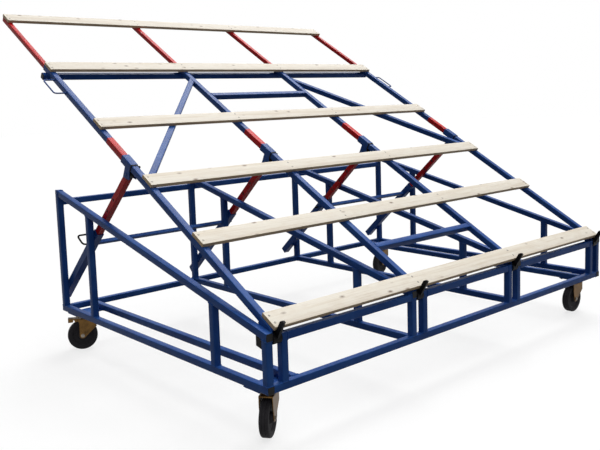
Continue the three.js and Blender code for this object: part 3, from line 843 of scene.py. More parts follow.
@dataclass
class Assembly:
    """Sub-assembly: where it lies, who makes its pieces, its number from the left and its tube.

    The class lists the numbers of its instances, one that is there only once having number 0,
    and names the CAD body that its pieces ride on.
    """

    layout: Layout
    shop: Workshop
    number: int
    tube: float = 40 * MM
    tube_wall: float = 3 * MM
    beam_axis: float = 29 * MM
    plug_rise: float = 3.5 * MM
    plug_ease: float = 1.5 * MM
    numbers: ClassVar = NUMBERS
    body: ClassVar = "base"

    @property
    def half(self) -> float:
        """Half the side of the tube."""
        return self.tube / 2

    @property
    def rail_axis(self) -> float:
        """Height of the bottom rails' axes."""
        return self.layout.rail_bottom + self.half

    @property
    def is_end(self) -> bool:
        """Whether it stands at the left or right end of the cart."""
        return self.number in END_NUMBERS

    @property
    def truss(self) -> float:
        """Plane of the side frame of its number."""
        return self.layout.truss_x[self.number - 1]

    @property
    def beam(self) -> float:
        """Plane of the beam of its number."""
        return self.layout.beam_x[self.number - 1]

    def bar(self, start: Array, end: Array, up: Array, **cuts: object) -> Bar:
        """A length of the tube between two points on its axis."""
        ends = np.asarray(start, float), np.asarray(end, float)
        return Bar(*ends, self.tube, self.tube, up, **cuts)

    def upright(self, x: float, y: float, top: float, **cuts: object) -> Bar:
        """A post of the tube, from the top of the bottom rails to a height."""
        foot = self.rail_axis + self.half
        return self.bar([x, y, foot], [x, y, top], DEEP, **cuts)

    def along_beam(self, span: tuple, side: float, wall: float) -> Surface:
        """Square tube about the beam's axis between two places along the table."""
        ends = self.layout.run(self.beam, span, self.beam_axis)
        return Bar(*ends, side, side, self.layout.rise, wall=wall).surface()

    def plug(self, centre: Array, outward: Array, up: Array) -> Surface:
        """Plastic plug in an open end: a low cushion with eased rims."""
        ends = centre - outward * MM, centre + outward * self.plug_rise
        return Bar(*ends, self.tube - MM, self.tube - MM, up, ease=self.plug_ease).surface()

    def piece(self, name: str, forms: list, finish: Finish, node: str = "") -> bpy.types.Object:
        """Joins forms into one piece on the sub-assembly's body, in place of a node if named."""
        return self.shop.piece(name, forms, finish, self.body, node)

    def weld(self, name: str, bars: list, beads: list, node: str) -> None:
        """Joins bars and weld beads into one blue piece that stands for a CAD node."""
        self.piece(name, [bar.surface() for bar in bars] + beads, BLUE, node)


@dataclass
class SideFrame(Assembly):
    """Upright frame of bottom rail, posts and a sloping chord."""

    third_post: float = -670 * MM
    second_post: float = 677 * MM
    chord_front: float = 568 * MM
    chord_rear: float = 1105 * MM
    post_top: float = 1109 * MM

    def build(self) -> None:
        """Makes bars that butt against each other, with a bead at each seam, and plugs."""
        lay, half, x = self.layout, self.half, self.truss
        set_in = 0.0 if self.is_end else self.tube
        ends = ([x, y, self.rail_axis] for y in (lay.front + set_in, lay.back - set_in))
        rail = self.bar(*ends, UP)
        rear_face = lay.back - self.tube
        grade = (self.chord_rear - self.chord_front) / (rear_face - lay.front)
        sink = half * hypot(1, grade)

        def chord_axis(y: float) -> float:
            """Height of the chord's axis at a depth."""
            return self.chord_front + (y - lay.front) * grade - sink

        ends = ([x, y, chord_axis(y)] for y in (lay.front, rear_face))
        chord = self.bar(*ends, UP, cut_start=DEEP, cut_end=DEEP)
        slant = np.array([0.0, -grade, 1.0])
        bars, beads = [rail, chord], chord.beads(True)
        middle = (lay.front + lay.back) / 2
        for y in (lay.front + half, middle + self.third_post, middle + self.second_post):
            post = self.upright(x, y, chord_axis(y) - sink, cut_end=slant)
            bars.append(post)
            beads += post.beads()
        rear = self.upright(x, lay.back - half, self.post_top, ease=MM)
        beads += rear.beads(False)
        if not self.is_end:
            beads += rail.beads()
        name = f"side_frame_{self.number}"
        self.weld(f"{name}_tubes", [*bars, rear], beads, name)
        open_ends = [chord.start, rail.start] if self.is_end else [chord.start]
        plugs = [self.plug(at, -DEEP, UP) for at in open_ends]
        self.piece(f"{name}_plugs", plugs, CAP_AND_SHADE)


@dataclass
class BaseRails(Assembly):
    """Cross rails, front ledges with hinge posts, caster rails with plates, and strut guides."""

    bolt: tuple[float, float] = (8 * MM, 5 * MM)
    bolt_inset: float = 15 * MM
    plate_length: float = 130 * MM
    plate_round: float = 8 * MM
    pin_radius: float = 8 * MM
    pin_head: tuple = ((2, -1), (11, -1), (11, 1), (9, 2), (2, 2))
    block: tuple[float, float] = (42 * MM, 50 * MM)
    chord_under: float = 536 * MM
    chord_grade: float = 0.244
    guide_ease: float = 2.5 * MM
    numbers: ClassVar = (0,)

    def build(self) -> None:
        """Makes all rails of the base and dresses the guides."""
        self.front()
        self.hinge_pins()
        for node in ("bottom_rail", "top_rail_left", "top_rail_middle", "top_rail_right"):
            self.rear(f"rear_{node}")
        for side in SIDES:
            self.caster_rail(side)
            self.shop.dress_node(f"strut_guides_{side}", BLUE, self.guide_ease)

    def front(self) -> None:
        """Front bottom rail, hinge posts and the ledges between them."""
        lay, half = self.layout, self.half
        y, top = lay.front + half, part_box("front_ledge_left")[1].z
        inner = -lay.truss_x[0] - half
        rail = self.bar(*([x, y, self.rail_axis] for x in (-inner, inner)), UP)
        posts = [self.upright(x, y, top, ease=MM) for x in lay.post_x]
        spans = [
            ("front_ledge_left", lay.post_x[0] + half, lay.truss_x[1] - half, posts[:1]),
            ("front_rail", lay.post_x[1] + half, lay.post_x[2] - half, posts[1:3]),
            ("front_ledge_right", lay.truss_x[2] + half, lay.post_x[3] - half, posts[3:]),
        ]
        for node, start, end, owned in spans:
            ledge = self.bar([start, y, top - half], [end, y, top - half], UP)
            bars, beads = [ledge, *owned], ledge.beads()
            for post in owned:
                beads += post.beads(False)
            if node == "front_rail":
                bars.append(rail)
                beads += rail.beads()
            self.weld(f"{node}_tubes", bars, beads, node)

    def hinge_pins(self) -> None:
        """Pins that the table's lugs turn on, with heads and corner blocks on the end frames."""
        lay = self.layout
        profile = np.array(self.pin_head) * MM
        forms, heads = [], []
        for number, truss, post in zip(NUMBERS, lay.truss_x, lay.post_x):
            inward = np.sign(post - truss)
            face = truss - inward * self.half
            ends = [[x, *lay.hinge[1:]] for x in (face + inward * self.tube_wall, post)]
            forms.append(rod(ends, self.pin_radius, UP, ease=MM))
            if number in END_NUMBERS:
                at = np.array([face, *lay.hinge[1:]])
                heads.append(turned(profile, at, -inward * ACROSS, sides=28))
                forms.append(self.corner_block(truss))
        self.piece("hinge_pins", forms, BLACK)
        self.piece("hinge_pin_heads", heads, BLUE)

    def corner_block(self, x: float) -> Surface:
        """Black block in the corner behind a front post, cut to the slope of the chord above it.

        Args:
            x: plane of the side frame.

        Returns:
            The block.
        """
        depth, height = self.block
        under = self.chord_under
        rear = under + self.chord_grade * depth
        edge = [[0, under], [0, under - height], [depth, rear - height], [depth, rear]]
        origin = np.array([x - self.half + MM, self.layout.front + self.tube, 0.0])
        return plate(edge, origin, DEEP, UP, self.tube - 2 * MM, ease=2 * MM)

    def rear(self, node: str) -> None:
        """Rear rail along X that fills a CAD node's box."""
        rail = self.bar(*([corner.x, *box_middle(node)[1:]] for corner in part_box(node)), UP)
        self.weld(f"{node}_tube", [rail], rail.beads(), node)

    def caster_rail(self, side: str) -> None:
        """Inner rail with a caster's mounting plate under each end, bolted at its corners.

        Args:
            side: left or right.
        """
        lay, node = self.layout, f"caster_rail_{side}"
        low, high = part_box(node)
        x = low.x + self.half if side == "right" else high.x - self.half
        rail = self.bar(*([x, y, self.rail_axis] for y in (low.y, high.y)), UP)
        forms, bolts = [rail.surface(), *rail.beads()], []
        width, length = high.x - low.x, self.plate_length
        outline = rounded_rectangle(width, length, self.plate_round)
        reach = np.array([width, length, 0]) / 2 - self.bolt_inset * LEVEL
        for end in ("front", "rear"):
            origin = np.array([*joint_vector(f"swivel_{end}_{side}", "pos_m")[:2], low.z])
            thick = lay.rail_bottom - low.z
            forms.append(plate(outline, origin, ACROSS, DEEP, thick, ease=MM))
            for corner in [(u, v, 0) for u in WAYS for v in WAYS]:
                bolts += hex_bolt(origin + reach * corner, -UP, *self.bolt)
        self.piece(f"{node}_tube", forms, BLUE, node)
        self.piece(f"{node}_bolts", bolts, STEEL)


@dataclass
class Strut(Assembly):
    """Strut that slides in a guide, with black rims of painted shade at its pin holes and a lock
    pin.
    """

    ease: float = 2.0 * MM
    pin_radius: float = 6 * MM
    pin_bend: float = 22 * MM
    pin_ease: float = 1.5 * MM
    grip_foot: float = 4 * MM
    grip_return: float = 70 * MM
    knob_radius: float = 9 * MM
    knob: float = 10 * MM
    shank: float = 22 * MM
    hole_count: int = 5
    hole_pitch: float = 116 * MM
    # black ring round each pin hole, in millimetres: painted shade for the dark inside the hole
    rim: tuple = ((6.4, -2.2), (10, -2.2), (10, 0.2), (6.4, 0.2))
    body: ClassVar = "struts"

    def build(self) -> None:
        """Dresses the strut, then adds the pin and the black rims of painted shade round the pin
        holes.
        """
        self.shop.dress_node(f"strut_{self.number}", RED, self.ease)
        self.pin()
        self.hole_shade_rims()

    def hole_shade_rims(self) -> None:
        """Black rims about the row of pin holes, in both side faces of the strut: painted shade
        that stands for the dark inside the holes.
        """
        first = np.array([self.beam, *box_middle("lock_pin_2")[1:]])
        profile = np.array(self.rim) * MM
        rims = []
        for step in range(self.hole_count):
            at = first + step * self.hole_pitch * self.layout.strut_axis
            for way in WAYS:
                face = at + way * self.half * ACROSS
                rims.append(turned(profile, face, way * ACROSS, sides=24, closed=True))
        self.piece(f"strut_hole_rims_{self.number}", rims, CAP_AND_SHADE)

    def pin(self) -> None:
        """Pin through guide and strut, with a bent grip outside or a knob at the cart's middle."""
        node = f"lock_pin_{self.number}"
        low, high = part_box(node)
        (x, y, z), r = box_middle(node), self.pin_radius
        outward = np.sign(x - self.beam)
        tip = self.beam - outward * self.shank
        end = high.x if outward > 0 else low.x
        if self.is_end:
            foot = self.truss + outward * (self.half + self.grip_foot)
            outside, bottom, top = end - outward * r, low.z + r, high.z - r
            corners = [[tip, y, bottom], [foot, y, bottom], [outside, y, top]]
            corners.append([outside - outward * self.grip_return, y, top])
            forms = [rod(rounded_path(corners, self.pin_bend), r, DEEP, self.pin_ease)]
        else:
            neck = end - outward * self.knob
            forms = [rod([[tip, y, z], [neck, y, z]], r, UP, ease=MM)]
            forms.append(rod([[neck, y, z], [end, y, z]], self.knob_radius, UP, ease=2 * MM))
        self.shop.piece(f"{node}_rod", forms, BLACK, f"pin_{self.number}", node)


@dataclass
class TableBeam(Assembly):
    """Hollow beam on two hinge lugs, with a painted band, a stop hook and, outside, a handle."""

    span: tuple[float, float] = (12.5 * MM, 2764 * MM)
    lug_radius: float = 28 * MM
    lug_reach: float = 110 * MM
    lug_thick: float = 8 * MM
    # black sleeve round the lugs' noses, painted shade: how far it stands out past the lugs' faces
    # and round them
    nose_shade_proud: tuple[float, float] = (0.2 * MM, 0.6 * MM)
    band: tuple[float, float] = (1590 * MM, 1790 * MM)
    band_proud: float = 0.3 * MM
    band_wall: float = 0.25 * MM
    handle: tuple[float, float] = (2395 * MM, 2577 * MM)
    handle_reach: float = 80 * MM
    handle_radius: float = 5 * MM
    handle_bend: float = 22 * MM
    hook_ease: float = 1.5 * MM
    body: ClassVar = "table"

    def build(self) -> None:
        """Makes lugs, a black sleeve of painted shade round their noses, tube and band and dresses
        the hook.
        """
        lay, x, node = self.layout, self.beam, f"table_beam_{self.number}"
        lugs = []
        for edge in (x - self.half - self.lug_thick, x + self.half):
            axes = lay.on_table(edge, 0, 0), lay.slope, lay.rise
            lugs.append(plate(self.lug_edge(), *axes, self.lug_thick, ease=MM))
        self.piece(f"hinge_lugs_{self.number}", lugs, BLUE)
        # black sleeve round the lugs' noses: painted shade for the dark gap at the hinge
        reach = self.half + self.lug_thick + self.nose_shade_proud[0]
        ends = lay.crossing((x - reach, x + reach), 0, 0)
        nose_shade = rod(ends, self.lug_radius + self.nose_shade_proud[1], UP, ease=MM, sides=40)
        self.piece(f"hinge_bush_{self.number}", [nose_shade], BLACK)
        forms = [self.along_beam(self.span, self.tube, self.tube_wall)]
        if self.is_end:
            forms.append(self.carry_handle())
        self.piece(f"{node}_tube", forms, BLUE, node)
        band = self.along_beam(self.band, self.tube + 2 * self.band_proud, self.band_wall)
        self.piece(f"beam_band_{self.number}", [band], RED)
        self.shop.dress_node(f"stop_hook_{self.number}", BLACK, self.hook_ease)

    def lug_edge(self) -> list:
        """Lug's edge: a half circle about the hinge, drawn out beside the beam."""
        low, top = self.beam_axis - self.half, self.beam_axis + self.half
        nose = arc_points((0, 0), self.lug_radius, -pi / 2, -3 * pi / 2, steps=18)
        return [[self.lug_reach, low], *nose, [self.lug_reach / 3, top], [self.lug_reach, top]]

    def carry_handle(self) -> Surface:
        """U-shaped rod on the beam's outer face."""
        outward = np.sign(self.beam)
        root = self.beam + outward * (self.half - MM)
        grip = self.beam + outward * (self.half + self.handle_reach)
        low, high = self.handle
        places = [(root, low), (grip, low), (grip, high), (root, high)]
        corners = [self.layout.on_table(*place, self.beam_axis) for place in places]
        path = rounded_path(corners, self.handle_bend)
        return rod(path, self.handle_radius, self.layout.rise, ease=0.5 * MM)


@dataclass
class Bracing(Assembly):
    """Crossbar with plugged ends, two ties and two diagonals between the beams."""

    bead: float = 2.3 * MM
    same_place: float = 0.1 * MM
    numbers: ClassVar = (0,)
    body: ClassVar = "table"

    def build(self) -> None:
        """Makes the bars and the crossbar's plugs."""
        crossbar = self.cross_bar("table_crossbar")
        self.weld("table_crossbar_tube", [crossbar], [], "table_crossbar")
        ends = [(crossbar.start, -ACROSS), (crossbar.end, ACROSS)]
        plugs = [self.plug(at, way, self.layout.rise) for at, way in ends]
        self.piece("table_crossbar_plugs", plugs, CAP_AND_SHADE)
        bars = {node: self.cross_bar(node) for node in ("table_tie_lower", "table_tie_upper")}
        bars |= {node: self.diagonal(node) for node in (f"table_brace_{s}" for s in SIDES)}
        for node, bar in bars.items():
            self.weld(f"{node}_tube", [bar], bar.beads(size=self.bead), node)

    def cross_bar(self, node: str) -> Bar:
        """Bar along X that fills a CAD node's place in the table."""
        span, place = [corner.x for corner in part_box(node)], sum(self.layout.table_box(node)) / 2
        return self.bar(*self.layout.crossing(span, *place), self.layout.rise)

    def diagonal(self, node: str) -> Bar:
        """Slanted bar between two beams, its ends cut along the beams' faces.

        Args:
            node: CAD node of the bar.

        Returns:
            The bar.
        """
        points = node_points(node)
        ends = []
        for x in (points[:, 0].min(), points[:, 0].max()):
            near = points[np.abs(points[:, 0] - x) < self.same_place]
            ends.append((near.min(0) + near.max(0)) / 2)
        return self.bar(*ends, self.layout.rise, cut_start=ACROSS, cut_end=ACROSS)


@dataclass
class Collar(Assembly):
    """Sleeve that slides on a beam, with plate ears over the strut's head and a clamp knob."""

    side: float = 50 * MM
    wall: float = 4.5 * MM
    pivot_lead: float = 23 * MM
    pivot_rise: float = -24.75 * MM
    ear: tuple = ((-23, 6), (-45, -42), (26, -63), (32, 6))
    ear_ease: float = 0.8 * MM
    bolt: tuple[float, float, float] = (12 * MM, 2 * MM, 0.8 * MM)
    # black ring at the sleeve's low end: painted shade for the dark gap between the sleeve's end
    # and the beam
    shade_ring: tuple[float, float] = (-8 * MM, 2 * MM)
    shade_ring_side: float = 47 * MM
    shade_ring_wall: float = 3 * MM
    knob_set: float = 4 * MM
    knob: tuple = ((4 * MM, 10 * MM), (8 * MM, 12 * MM))
    # black skin on the strut's head, painted shade: its length below the pivot and its thickness
    head_shade_length: float = 33 * MM
    skin: float = 0.3 * MM
    skin_wall: float = 0.25 * MM
    body: ClassVar = "collars"

    @property
    def span(self) -> list[float]:
        """The sleeve's ends along the table."""
        return [place[0] for place in self.layout.table_box(f"beam_collar_{self.number}")]

    def build(self) -> None:
        """Makes the collar; its clamp knob; a black ring at its low end and a black skin on the
        strut's head, both painted shade.
        """
        start = self.span[0]
        self.sleeve(start + self.pivot_lead)
        self.shade_ring_and_knob(start)
        self.head(self.layout.on_table(self.beam, start + self.pivot_lead, self.pivot_rise))

    def sleeve(self, pivot: float) -> None:
        """Sleeve with two ears that widen towards the strut, and the pivot's bolt heads.

        Args:
            pivot: the pivot's distance along the table.
        """
        lay, x, half = self.layout, self.beam, self.side / 2
        forms = [self.along_beam(self.span, self.side, self.wall)]
        edge = np.array(self.ear) * MM
        for way, start in ((-1, x - half), (1, x + half - self.wall)):
            base = lay.on_table(start, pivot, 0)
            forms.append(plate(edge, base, lay.slope, lay.rise, self.wall, self.ear_ease))
            at = lay.on_table(x + way * half, pivot, self.pivot_rise)
            forms += hex_bolt(at, way * ACROSS, *self.bolt)
        node = f"beam_collar_{self.number}"
        self.piece(f"{node}_sleeve", forms, BLUE, node)

    def shade_ring_and_knob(self, start: float) -> None:
        """Black ring in the sleeve's low end, painted shade for the dark gap between the sleeve's
        end and the beam, and a clamp knob on its side.

        Args:
            start: the sleeve's low end along the table.
        """
        lay, ring = self.layout, [start + s for s in self.shade_ring]
        forms = [self.along_beam(ring, self.shade_ring_side, self.shade_ring_wall)]
        at = self.beam + self.side / 2 - MM
        for radius, length in self.knob:
            ends = lay.crossing((at, at + length), start + self.knob_set, self.beam_axis)
            forms.append(rod(ends, radius, lay.rise, ease=MM))
            at += length
        self.piece(f"collar_trim_{self.number}", forms, BLACK)

    def head(self, pivot: Array) -> None:
        """Black skin on the strut's head, painted shade for the dark between the ears: a round
        about the pivot and a sleeve below it.

        Args:
            pivot: middle of the strut's head.
        """
        axis, side = self.layout.strut_axis, self.tube + 2 * self.skin
        reach = side / 2 * ACROSS
        forms = [rod([pivot - reach, pivot + reach], side / 2, UP, ease=0.2 * MM, sides=40)]
        ends, up = (pivot - axis * self.head_shade_length, pivot), np.cross(ACROSS, axis)
        forms.append(Bar(*ends, side, side, up, wall=self.skin_wall).surface())
        # painted shade: a black skin where the strut's head sits in shade between the ears
        self.shop.piece(f"strut_head_{self.number}", forms, BLACK, Strut.body)


@dataclass
class Slat(Assembly):
    """Pine slat, screwed down on each beam; the last one is the top slat on the extension."""

    edge_round: float = 2.5 * MM
    end_ease: float = 1.2 * MM
    screw: tuple = ((0.4, -1), (6, -1), (6, 0.15), (3.6, 0.3), (2.7, -0.4), (0.1, -0.5))
    screw_sets: tuple[float, float] = (0.27, 0.73)
    sawn_below: float = 0.8
    numbers: ClassVar = range(1, 7)
    body: ClassVar = "table"

    def build(self) -> None:
        """Makes a plank with eased edges and two countersunk screws over each beam."""
        lay = self.layout
        is_top = self.number == self.numbers[-1]
        node, body = ("top_slat", "extension") if is_top else (f"slat_{self.number}", self.body)
        low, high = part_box(node)
        (start, under), (end, top) = lay.table_box(node)
        ends = lay.crossing((low.x, high.x), (start + end) / 2, (under + top) / 2)
        sizes = {"radius": self.edge_round, "ease": self.end_ease}
        plank = Bar(*ends, end - start, top - under, lay.rise, **sizes)
        thing = self.shop.piece(f"{node}_plank", [plank.surface()], PINE, body, node)
        self.mark_sawn(thing.data)
        profile = np.array(self.screw) * MM
        sets = [start + share * (end - start) for share in self.screw_sets]
        places = [place for x in lay.beam_x for place in lay.run(x, sets, top)]
        screws = [turned(profile, place, lay.rise, sides=16) for place in places]
        self.shop.piece(f"{node}_screws", screws, NAIL, body)

    def mark_sawn(self, mesh: bpy.types.Mesh) -> None:
        """Marks a plank's edges and ends, the faces that turn away from the table's normal.

        Args:
            mesh: the plank's mesh.
        """
        normals = np.empty(len(mesh.polygons) * 3)
        mesh.polygons.foreach_get("normal", normals)
        aside = np.abs(normals.reshape(-1, 3) @ self.layout.rise) < self.sawn_below
        marks = mesh.attributes.new(PINE.sawn_mark, "FLOAT", "FACE")
        marks.data.foreach_set("value", aside.astype(np.float32))


@dataclass
class ExtensionArm(Assembly):
    """Red arm that slides out of a beam and carries the top slat."""

    ease: float = 0.8 * MM
    pad_ease: float = 0.5 * MM
    body: ClassVar = "extension"

    def build(self) -> None:
        """Makes a tube closed at its upper end, with a pad under the slat."""
        lay, x, node = self.layout, self.beam, f"extension_arm_{self.number}"
        low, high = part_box(node)
        side = high.x - low.x
        (start, under), (end, top) = lay.table_box(node)
        ends = lay.run(x, (start, end), under + side / 2)
        tube = Bar(*ends, side, side, lay.rise, ease=self.ease)
        slat = [place[0] for place in lay.table_box("top_slat")]
        ends = lay.run(x, slat, (under + side + top) / 2)
        thick = top - under - side + MM
        pad = Bar(*ends, side, thick, lay.rise, radius=MM, ease=self.pad_ease)
        forms = [tube.surface(), pad.surface()]
        self.piece(f"{node}_tube", forms, RED, node)


@dataclass
class Caster:
    """Swivel caster: raceway, fork, wheel on its axle and, at the rear, a brake pedal.

    The tables are in millimetres: groove and flank as depth below the tread and distance from
    the wheel's middle, lever, skirt and ribs as distances ahead of the pedal's pivot and above it.
    """

    shop: Workshop
    name: str
    brake: bool
    fork_rear: float = 56 * MM
    fork_front: float = 72 * MM
    foot_radius: float = 20 * MM
    shoulder: float = 60 * MM
    crown_gap: float = 12 * MM
    crown_thick: float = 8 * MM
    crown_round: float = 10 * MM
    plate_thick: float = 5 * MM
    plate_ease: float = 1.2 * MM
    head_radius: float = 52 * MM
    axle_radius: float = 7 * MM
    axle_bolt: tuple[float, float] = (9.5 * MM, 6.2 * MM)
    hub_half: float = 32 * MM
    play: float = 0.5 * MM
    tyre_half: float = 25 * MM
    tyre_round: float = 9 * MM
    tyre_crease: float = 28.0
    groove: tuple = ((0, 6.5), (2.5, 7.5), (2.5, 8.5), (0, 9.5))
    flank: tuple = ((22, 25), (24, 23), (28, 23), (31, 21), (38, 14))
    web: tuple = ((64, 13), (70, 16), (74, 27), (76, 32), (92.5, 32))
    pedal_set: float = 30 * MM
    pedal_rise: float = 14 * MM
    pedal_half: float = 25 * MM
    heel_radius: float = 7 * MM
    ear_radius: float = 10 * MM
    stub_radius: float = 4 * MM
    lever: tuple = ((4, -17), (16, -17), (24, 0), (58, 1), (58, -18), (62, -18), (62, 8), (24, 7))
    skirt: tuple = ((24, 1), (30.4, -18), (62, -18), (62, 1))
    skirt_thick: float = 3 * MM
    ribs: tuple = (30, 37, 44, 51, 58)
    rib_half: float = 21 * MM
    rib_size: tuple[float, float] = (3.4 * MM, 2.4 * MM)
    rib_round: float = 0.8 * MM
    small_ease: float = 0.5 * MM
    swivel: Array = field(init=False)
    hub: Array = field(init=False)
    ahead: Array = field(init=False)
    axle: Array = field(init=False)

    def __post_init__(self) -> None:
        """Reads the pivots from the record's joints."""
        self.swivel = joint_vector(f"swivel_{self.name}", "pos_m")
        self.hub = joint_vector(f"wheel_{self.name}_spin", "pos_m")
        self.ahead = unit((self.hub - self.swivel) * LEVEL)
        self.axle = np.cross(UP, self.ahead)

    @property
    def trail(self) -> float:
        """Distance of the axle behind the swivel axis."""
        return float(np.linalg.norm((self.hub - self.swivel)[:2]))

    @property
    def radius(self) -> float:
        """Radius of the wheel, which stands on the floor."""
        return float(self.hub[2])

    @property
    def fork_inner(self) -> float:
        """Distance from the wheel's middle to the fork's inner face."""
        return self.hub_half + self.play

    @property
    def fork_outer(self) -> float:
        """Distance from the wheel's middle to the fork's outer face."""
        return self.fork_inner + self.plate_thick

    @property
    def front_reach(self) -> float:
        """Reach of the fork's sides ahead of the swivel, less where a pedal follows."""
        return self.trail + self.foot_radius if self.brake else self.fork_front

    @property
    def crown(self) -> tuple[float, float]:
        """Heights of the crown's underside and top."""
        low = 2 * self.radius + self.crown_gap
        return low, low + self.crown_thick

    @property
    def pedal_pivot(self) -> tuple[float, float]:
        """Pedal axis ahead of the swivel and above the floor."""
        return self.trail + self.pedal_set, 2 * self.radius + self.pedal_rise

    def local(self, ahead: float, across: float, height: float) -> Array:
        """Point given ahead of the swivel axis, across the wheel and above the floor."""
        floor = self.swivel * LEVEL
        return floor + ahead * self.ahead + across * self.axle + height * UP

    def side(self, outline: list, place: tuple, thick: float, ease: float) -> Surface:
        """Upright plate along the wheel, thickened from a place across the axle."""
        return plate(outline, self.local(*place), self.ahead, UP, thick, ease)

    def build(self) -> None:
        """Makes fork, wheel and pedal."""
        self.make_fork()
        self.make_wheel()
        if self.brake:
            self.make_pedal()

    def fork_outline(self) -> list:
        """Edge of a fork side: straight shoulder, taper to the rounded foot at the axle."""
        top = self.crown[1]
        shoulder = top - self.shoulder
        across, drop = self.trail + self.fork_rear, shoulder - self.radius
        tangent = pi - np.arctan2(drop, across) + np.arccos(self.foot_radius / hypot(across, drop))
        rear, front = -self.fork_rear, self.front_reach
        foot = arc_points((self.trail, self.radius), self.foot_radius, tangent, 2 * pi, steps=20)
        edge = [[rear, top], [rear, shoulder], *foot, [front, shoulder]]
        if self.brake:
            r, (ahead, height) = self.ear_radius, self.pedal_pivot
            ear = arc_points((ahead, height), r, -pi / 2, pi / 2, steps=12)
            edge += [[front, height - 2 * r], *ear, [front, height + r]]
        return [*edge, [front, top]]

    def make_fork(self) -> None:
        """Two pressed sides on a crown under the ball raceway, with the axle bolt."""
        low, top = self.crown
        outer, thick = self.fork_outer, self.plate_thick
        forms = []
        for across in (outer, -self.fork_inner):
            forms.append(self.side(self.fork_outline(), (0, across, 0), thick, self.plate_ease))
        length = self.fork_rear + self.front_reach
        middle = self.local(length / 2 - self.fork_rear, 0, low)
        crown = rounded_rectangle(length, 2 * outer, self.crown_round)
        forms.append(plate(crown, middle, self.ahead, self.axle, top - low, ease=MM))
        body, node = f"caster_{self.name}", f"caster_fork_{self.name}"
        r, rise = self.head_radius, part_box(node)[1].z - top
        race = scaled(RACE_FOOT, r, MM) + scaled(RACE_LOW + RACE_TOP, r, rise)
        forms.append(turned(race, self.local(0, 0, top), UP, sides=40))
        self.shop.piece(f"{node}_pressing", forms, ZINC, body, node)
        ends = [self.hub + way * outer * self.axle for way in WAYS]
        axle = [rod(ends, self.axle_radius, UP, ease=MM)]
        for way, end in zip(WAYS, ends):
            axle += hex_bolt(end, way * self.axle, *self.axle_bolt)
        self.shop.piece(f"caster_axle_{self.name}", axle, STEEL, body, slot=Slot.ZINC)

    def make_wheel(self) -> None:
        """Tyre with rounded shoulders and grooves on a webbed centre, turned about the axle."""
        centre = self.tyre_half - self.tyre_round, self.radius - self.tyre_round
        shoulder = np.array(arc_points(centre, self.tyre_round, pi / 2, 0, steps=6))[:, ::-1]
        tread, inner = (
            np.array([self.radius, 0]) + np.array(table) * (-MM, MM)
            for table in (self.groove, self.flank + self.web)
        )
        upper = np.concatenate([tread, shoulder, inner])
        profile = np.concatenate([upper[::-1] * (1, -1), upper])
        wheel = turned(profile, self.hub, self.axle, sides=72, closed=True)
        body, node = f"wheel_{self.name}", f"caster_wheel_{self.name}"
        self.shop.piece(f"{node}_tyre", [wheel], RUBBER, body, node, crease=self.tyre_crease)

    def make_pedal(self) -> None:
        """Brake lever with a shoe, turned-down edges, stub pins and a ribbed tread."""
        (ahead, height), half, ease = self.pedal_pivot, self.pedal_half, self.small_ease
        heel = arc_points((0, 0), self.heel_radius, pi / 2, 3 * pi / 2, steps=10)
        edge = np.concatenate([heel, np.array(self.lever) * MM])
        forms = [self.side(edge, (ahead, half, height), 2 * half, ease=MM)]
        stubs = [self.local(ahead, way * self.fork_outer, height) for way in WAYS]
        forms.append(rod(stubs, self.stub_radius, UP, ease))
        skirt, thick = np.array(self.skirt) * MM, self.skirt_thick
        for across in (half, thick - half):
            forms.append(self.side(skirt, (ahead, across, height), thick, ease))
        body, node = f"pedal_{self.name}", f"brake_pedal_{self.name}"
        self.shop.piece(f"{node}_lever", forms, ZINC, body, node)
        (tip, tip_top), (bend, bend_top) = self.lever[-2:]
        ribs = []
        for at in self.ribs:
            rise = height + np.interp(at, (bend, tip), (bend_top, tip_top)) * MM
            ends = [self.local(ahead + at * MM, way * self.rib_half, rise) for way in WAYS]
            ribs.append(Bar(*ends, *self.rib_size, UP, radius=self.rib_round, ease=ease).surface())
        self.shop.piece(f"{node}_tread", ribs, CAP_AND_SHADE, body)


# Stage


class LightKind(Enum):
    """Kinds of light, each with the property that holds its width."""

    SUN = "angle"
    AREA = "size"


@dataclass(frozen=True)
class Light:
    """Soft light that shines from a place towards an aim; a sun's place is only its direction."""

    name: str
    kind: LightKind
    place: tuple
    energy: float
    width: float
    aim: tuple = (0.0, 0.0, 0.0)

    def build(self) -> None:
        """Makes the light."""
        data = bpy.data.lights.new(self.name, self.kind.name)
        data.energy = self.energy
        setattr(data, self.kind.value, self.width)
        back = unit(np.array(self.place) - self.aim)
        put(self.name, data, (*cross_axes(back), back), self.place)


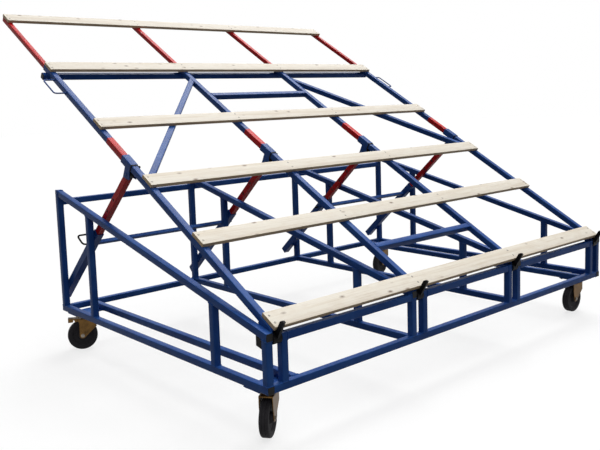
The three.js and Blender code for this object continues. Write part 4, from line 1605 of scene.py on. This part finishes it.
@dataclass
class Stage:
    """Pale floor, soft lights, white surroundings and the camera of the photograph's view."""

    image: tuple[int, int] = (600, 450)
    focal_pixels: float = 767.0
    centre_pixels: tuple[float, float] = (299.5, 188.0)
    place: tuple[float, float, float] = (-3.8573, -4.2698, 1.6802)
    yaw: float = 41.75
    pitch: float = -6.677
    roll: float = -1.801
    sensor: float = 36.0
    clip_end: float = 100.0
    daylight: float = 0.09
    floor_half: float = 40.0
    floor_tone: float = 0.24
    floor_glow: float = 0.76
    floor_bounce: float = 0.05
    lights: tuple[Light, ...] = (
        Light("high_light", LightKind.SUN, (0.1, -0.15, 1.0), 1.45, radians(62)),
        Light("sky_light", LightKind.SUN, (0.5, 0.3, 0.8), 2.1, radians(30)),
        Light("front_fill", LightKind.AREA, (-4.5, -5.0, 3.5), 40.0, 3.4, (0.0, 0.0, 0.9)),
    )

    def build(self) -> None:
        """Sets the whole stage."""
        bpy.context.scene.view_settings.view_transform = "Standard"
        self.camera()
        self.floor()
        self.sky()
        for light in self.lights:
            light.build()

    def camera(self) -> None:
        """Pinhole camera: forward from yaw and pitch, turned by the roll about it."""
        yaw, pitch, roll = radians(self.yaw), radians(self.pitch), radians(self.roll)
        ahead = np.array([sin(yaw) * cos(pitch), cos(yaw) * cos(pitch), sin(pitch)])
        right = np.array([cos(yaw), -sin(yaw), 0.0])
        above = np.cross(right, ahead)
        turned_right = cos(roll) * right + sin(roll) * above
        turned_up = -sin(roll) * right + cos(roll) * above
        width, height = self.image
        lens = bpy.data.cameras.new("photo_view")
        lens.sensor_fit = "HORIZONTAL"
        lens.sensor_width = self.sensor
        lens.lens = self.focal_pixels / width * self.sensor
        lens.shift_x = (width / 2 - self.centre_pixels[0]) / width
        lens.shift_y = (self.centre_pixels[1] - height / 2) / width
        lens.clip_end = self.clip_end
        axes = turned_right, turned_up, -ahead
        bpy.context.scene.camera = put("photo_view", lens, axes, self.place)

    def floor(self) -> None:
        """Wide pale floor that shows white to the camera and in gloss, with the cart's shadow."""
        half = self.floor_half
        mesh = bpy.data.meshes.new("floor")
        corners = [(-half, -half, 0), (half, -half, 0), (half, half, 0), (-half, half, 0)]
        mesh.from_pydata(corners, [], [(0, 1, 2, 3)])
        nodes = Nodes(bpy.data.materials.new("pale_floor"))
        nodes.set(Roughness=1.0, Specular_IOR_Level=0.0, Emission_Color=(1, 1, 1, 1))
        seen = nodes.seen_plainly()
        nodes.set(Base_Color=nodes.spread(seen, self.floor_bounce, self.floor_tone))
        nodes.set(Emission_Strength=nodes.spread(seen, 0.0, self.floor_glow))
        mesh.materials.append(nodes.owner)
        put("floor", mesh)

    def sky(self) -> None:
        """World: even daylight on the object, plain white for camera, gloss and glass rays."""
        world = bpy.data.worlds.new("white_room")
        bpy.context.scene.world = world
        nodes = Nodes(world, "Background")
        strength = nodes.spread(nodes.seen_plainly(), self.daylight, 1.0)
        nodes.set(Color=(1, 1, 1, 1), Strength=strength)


def main() -> None:
    """Builds the cart's sub-assemblies in order, then the stage."""
    logging.basicConfig(level=logging.INFO, format="%(name)s %(message)s")
    layout, shop = Layout.read(), Workshop()
    kinds = SideFrame, BaseRails, Strut, TableBeam, Bracing, Collar, Slat, ExtensionArm
    for kind in kinds:
        for number in kind.numbers:
            kind(layout, shop, number).build()
    for name in ("front_left", "front_right", "rear_left", "rear_right"):
        Caster(shop, name, name.startswith("rear")).build()
    Stage().build()


if __name__ == "__main__":
    main()
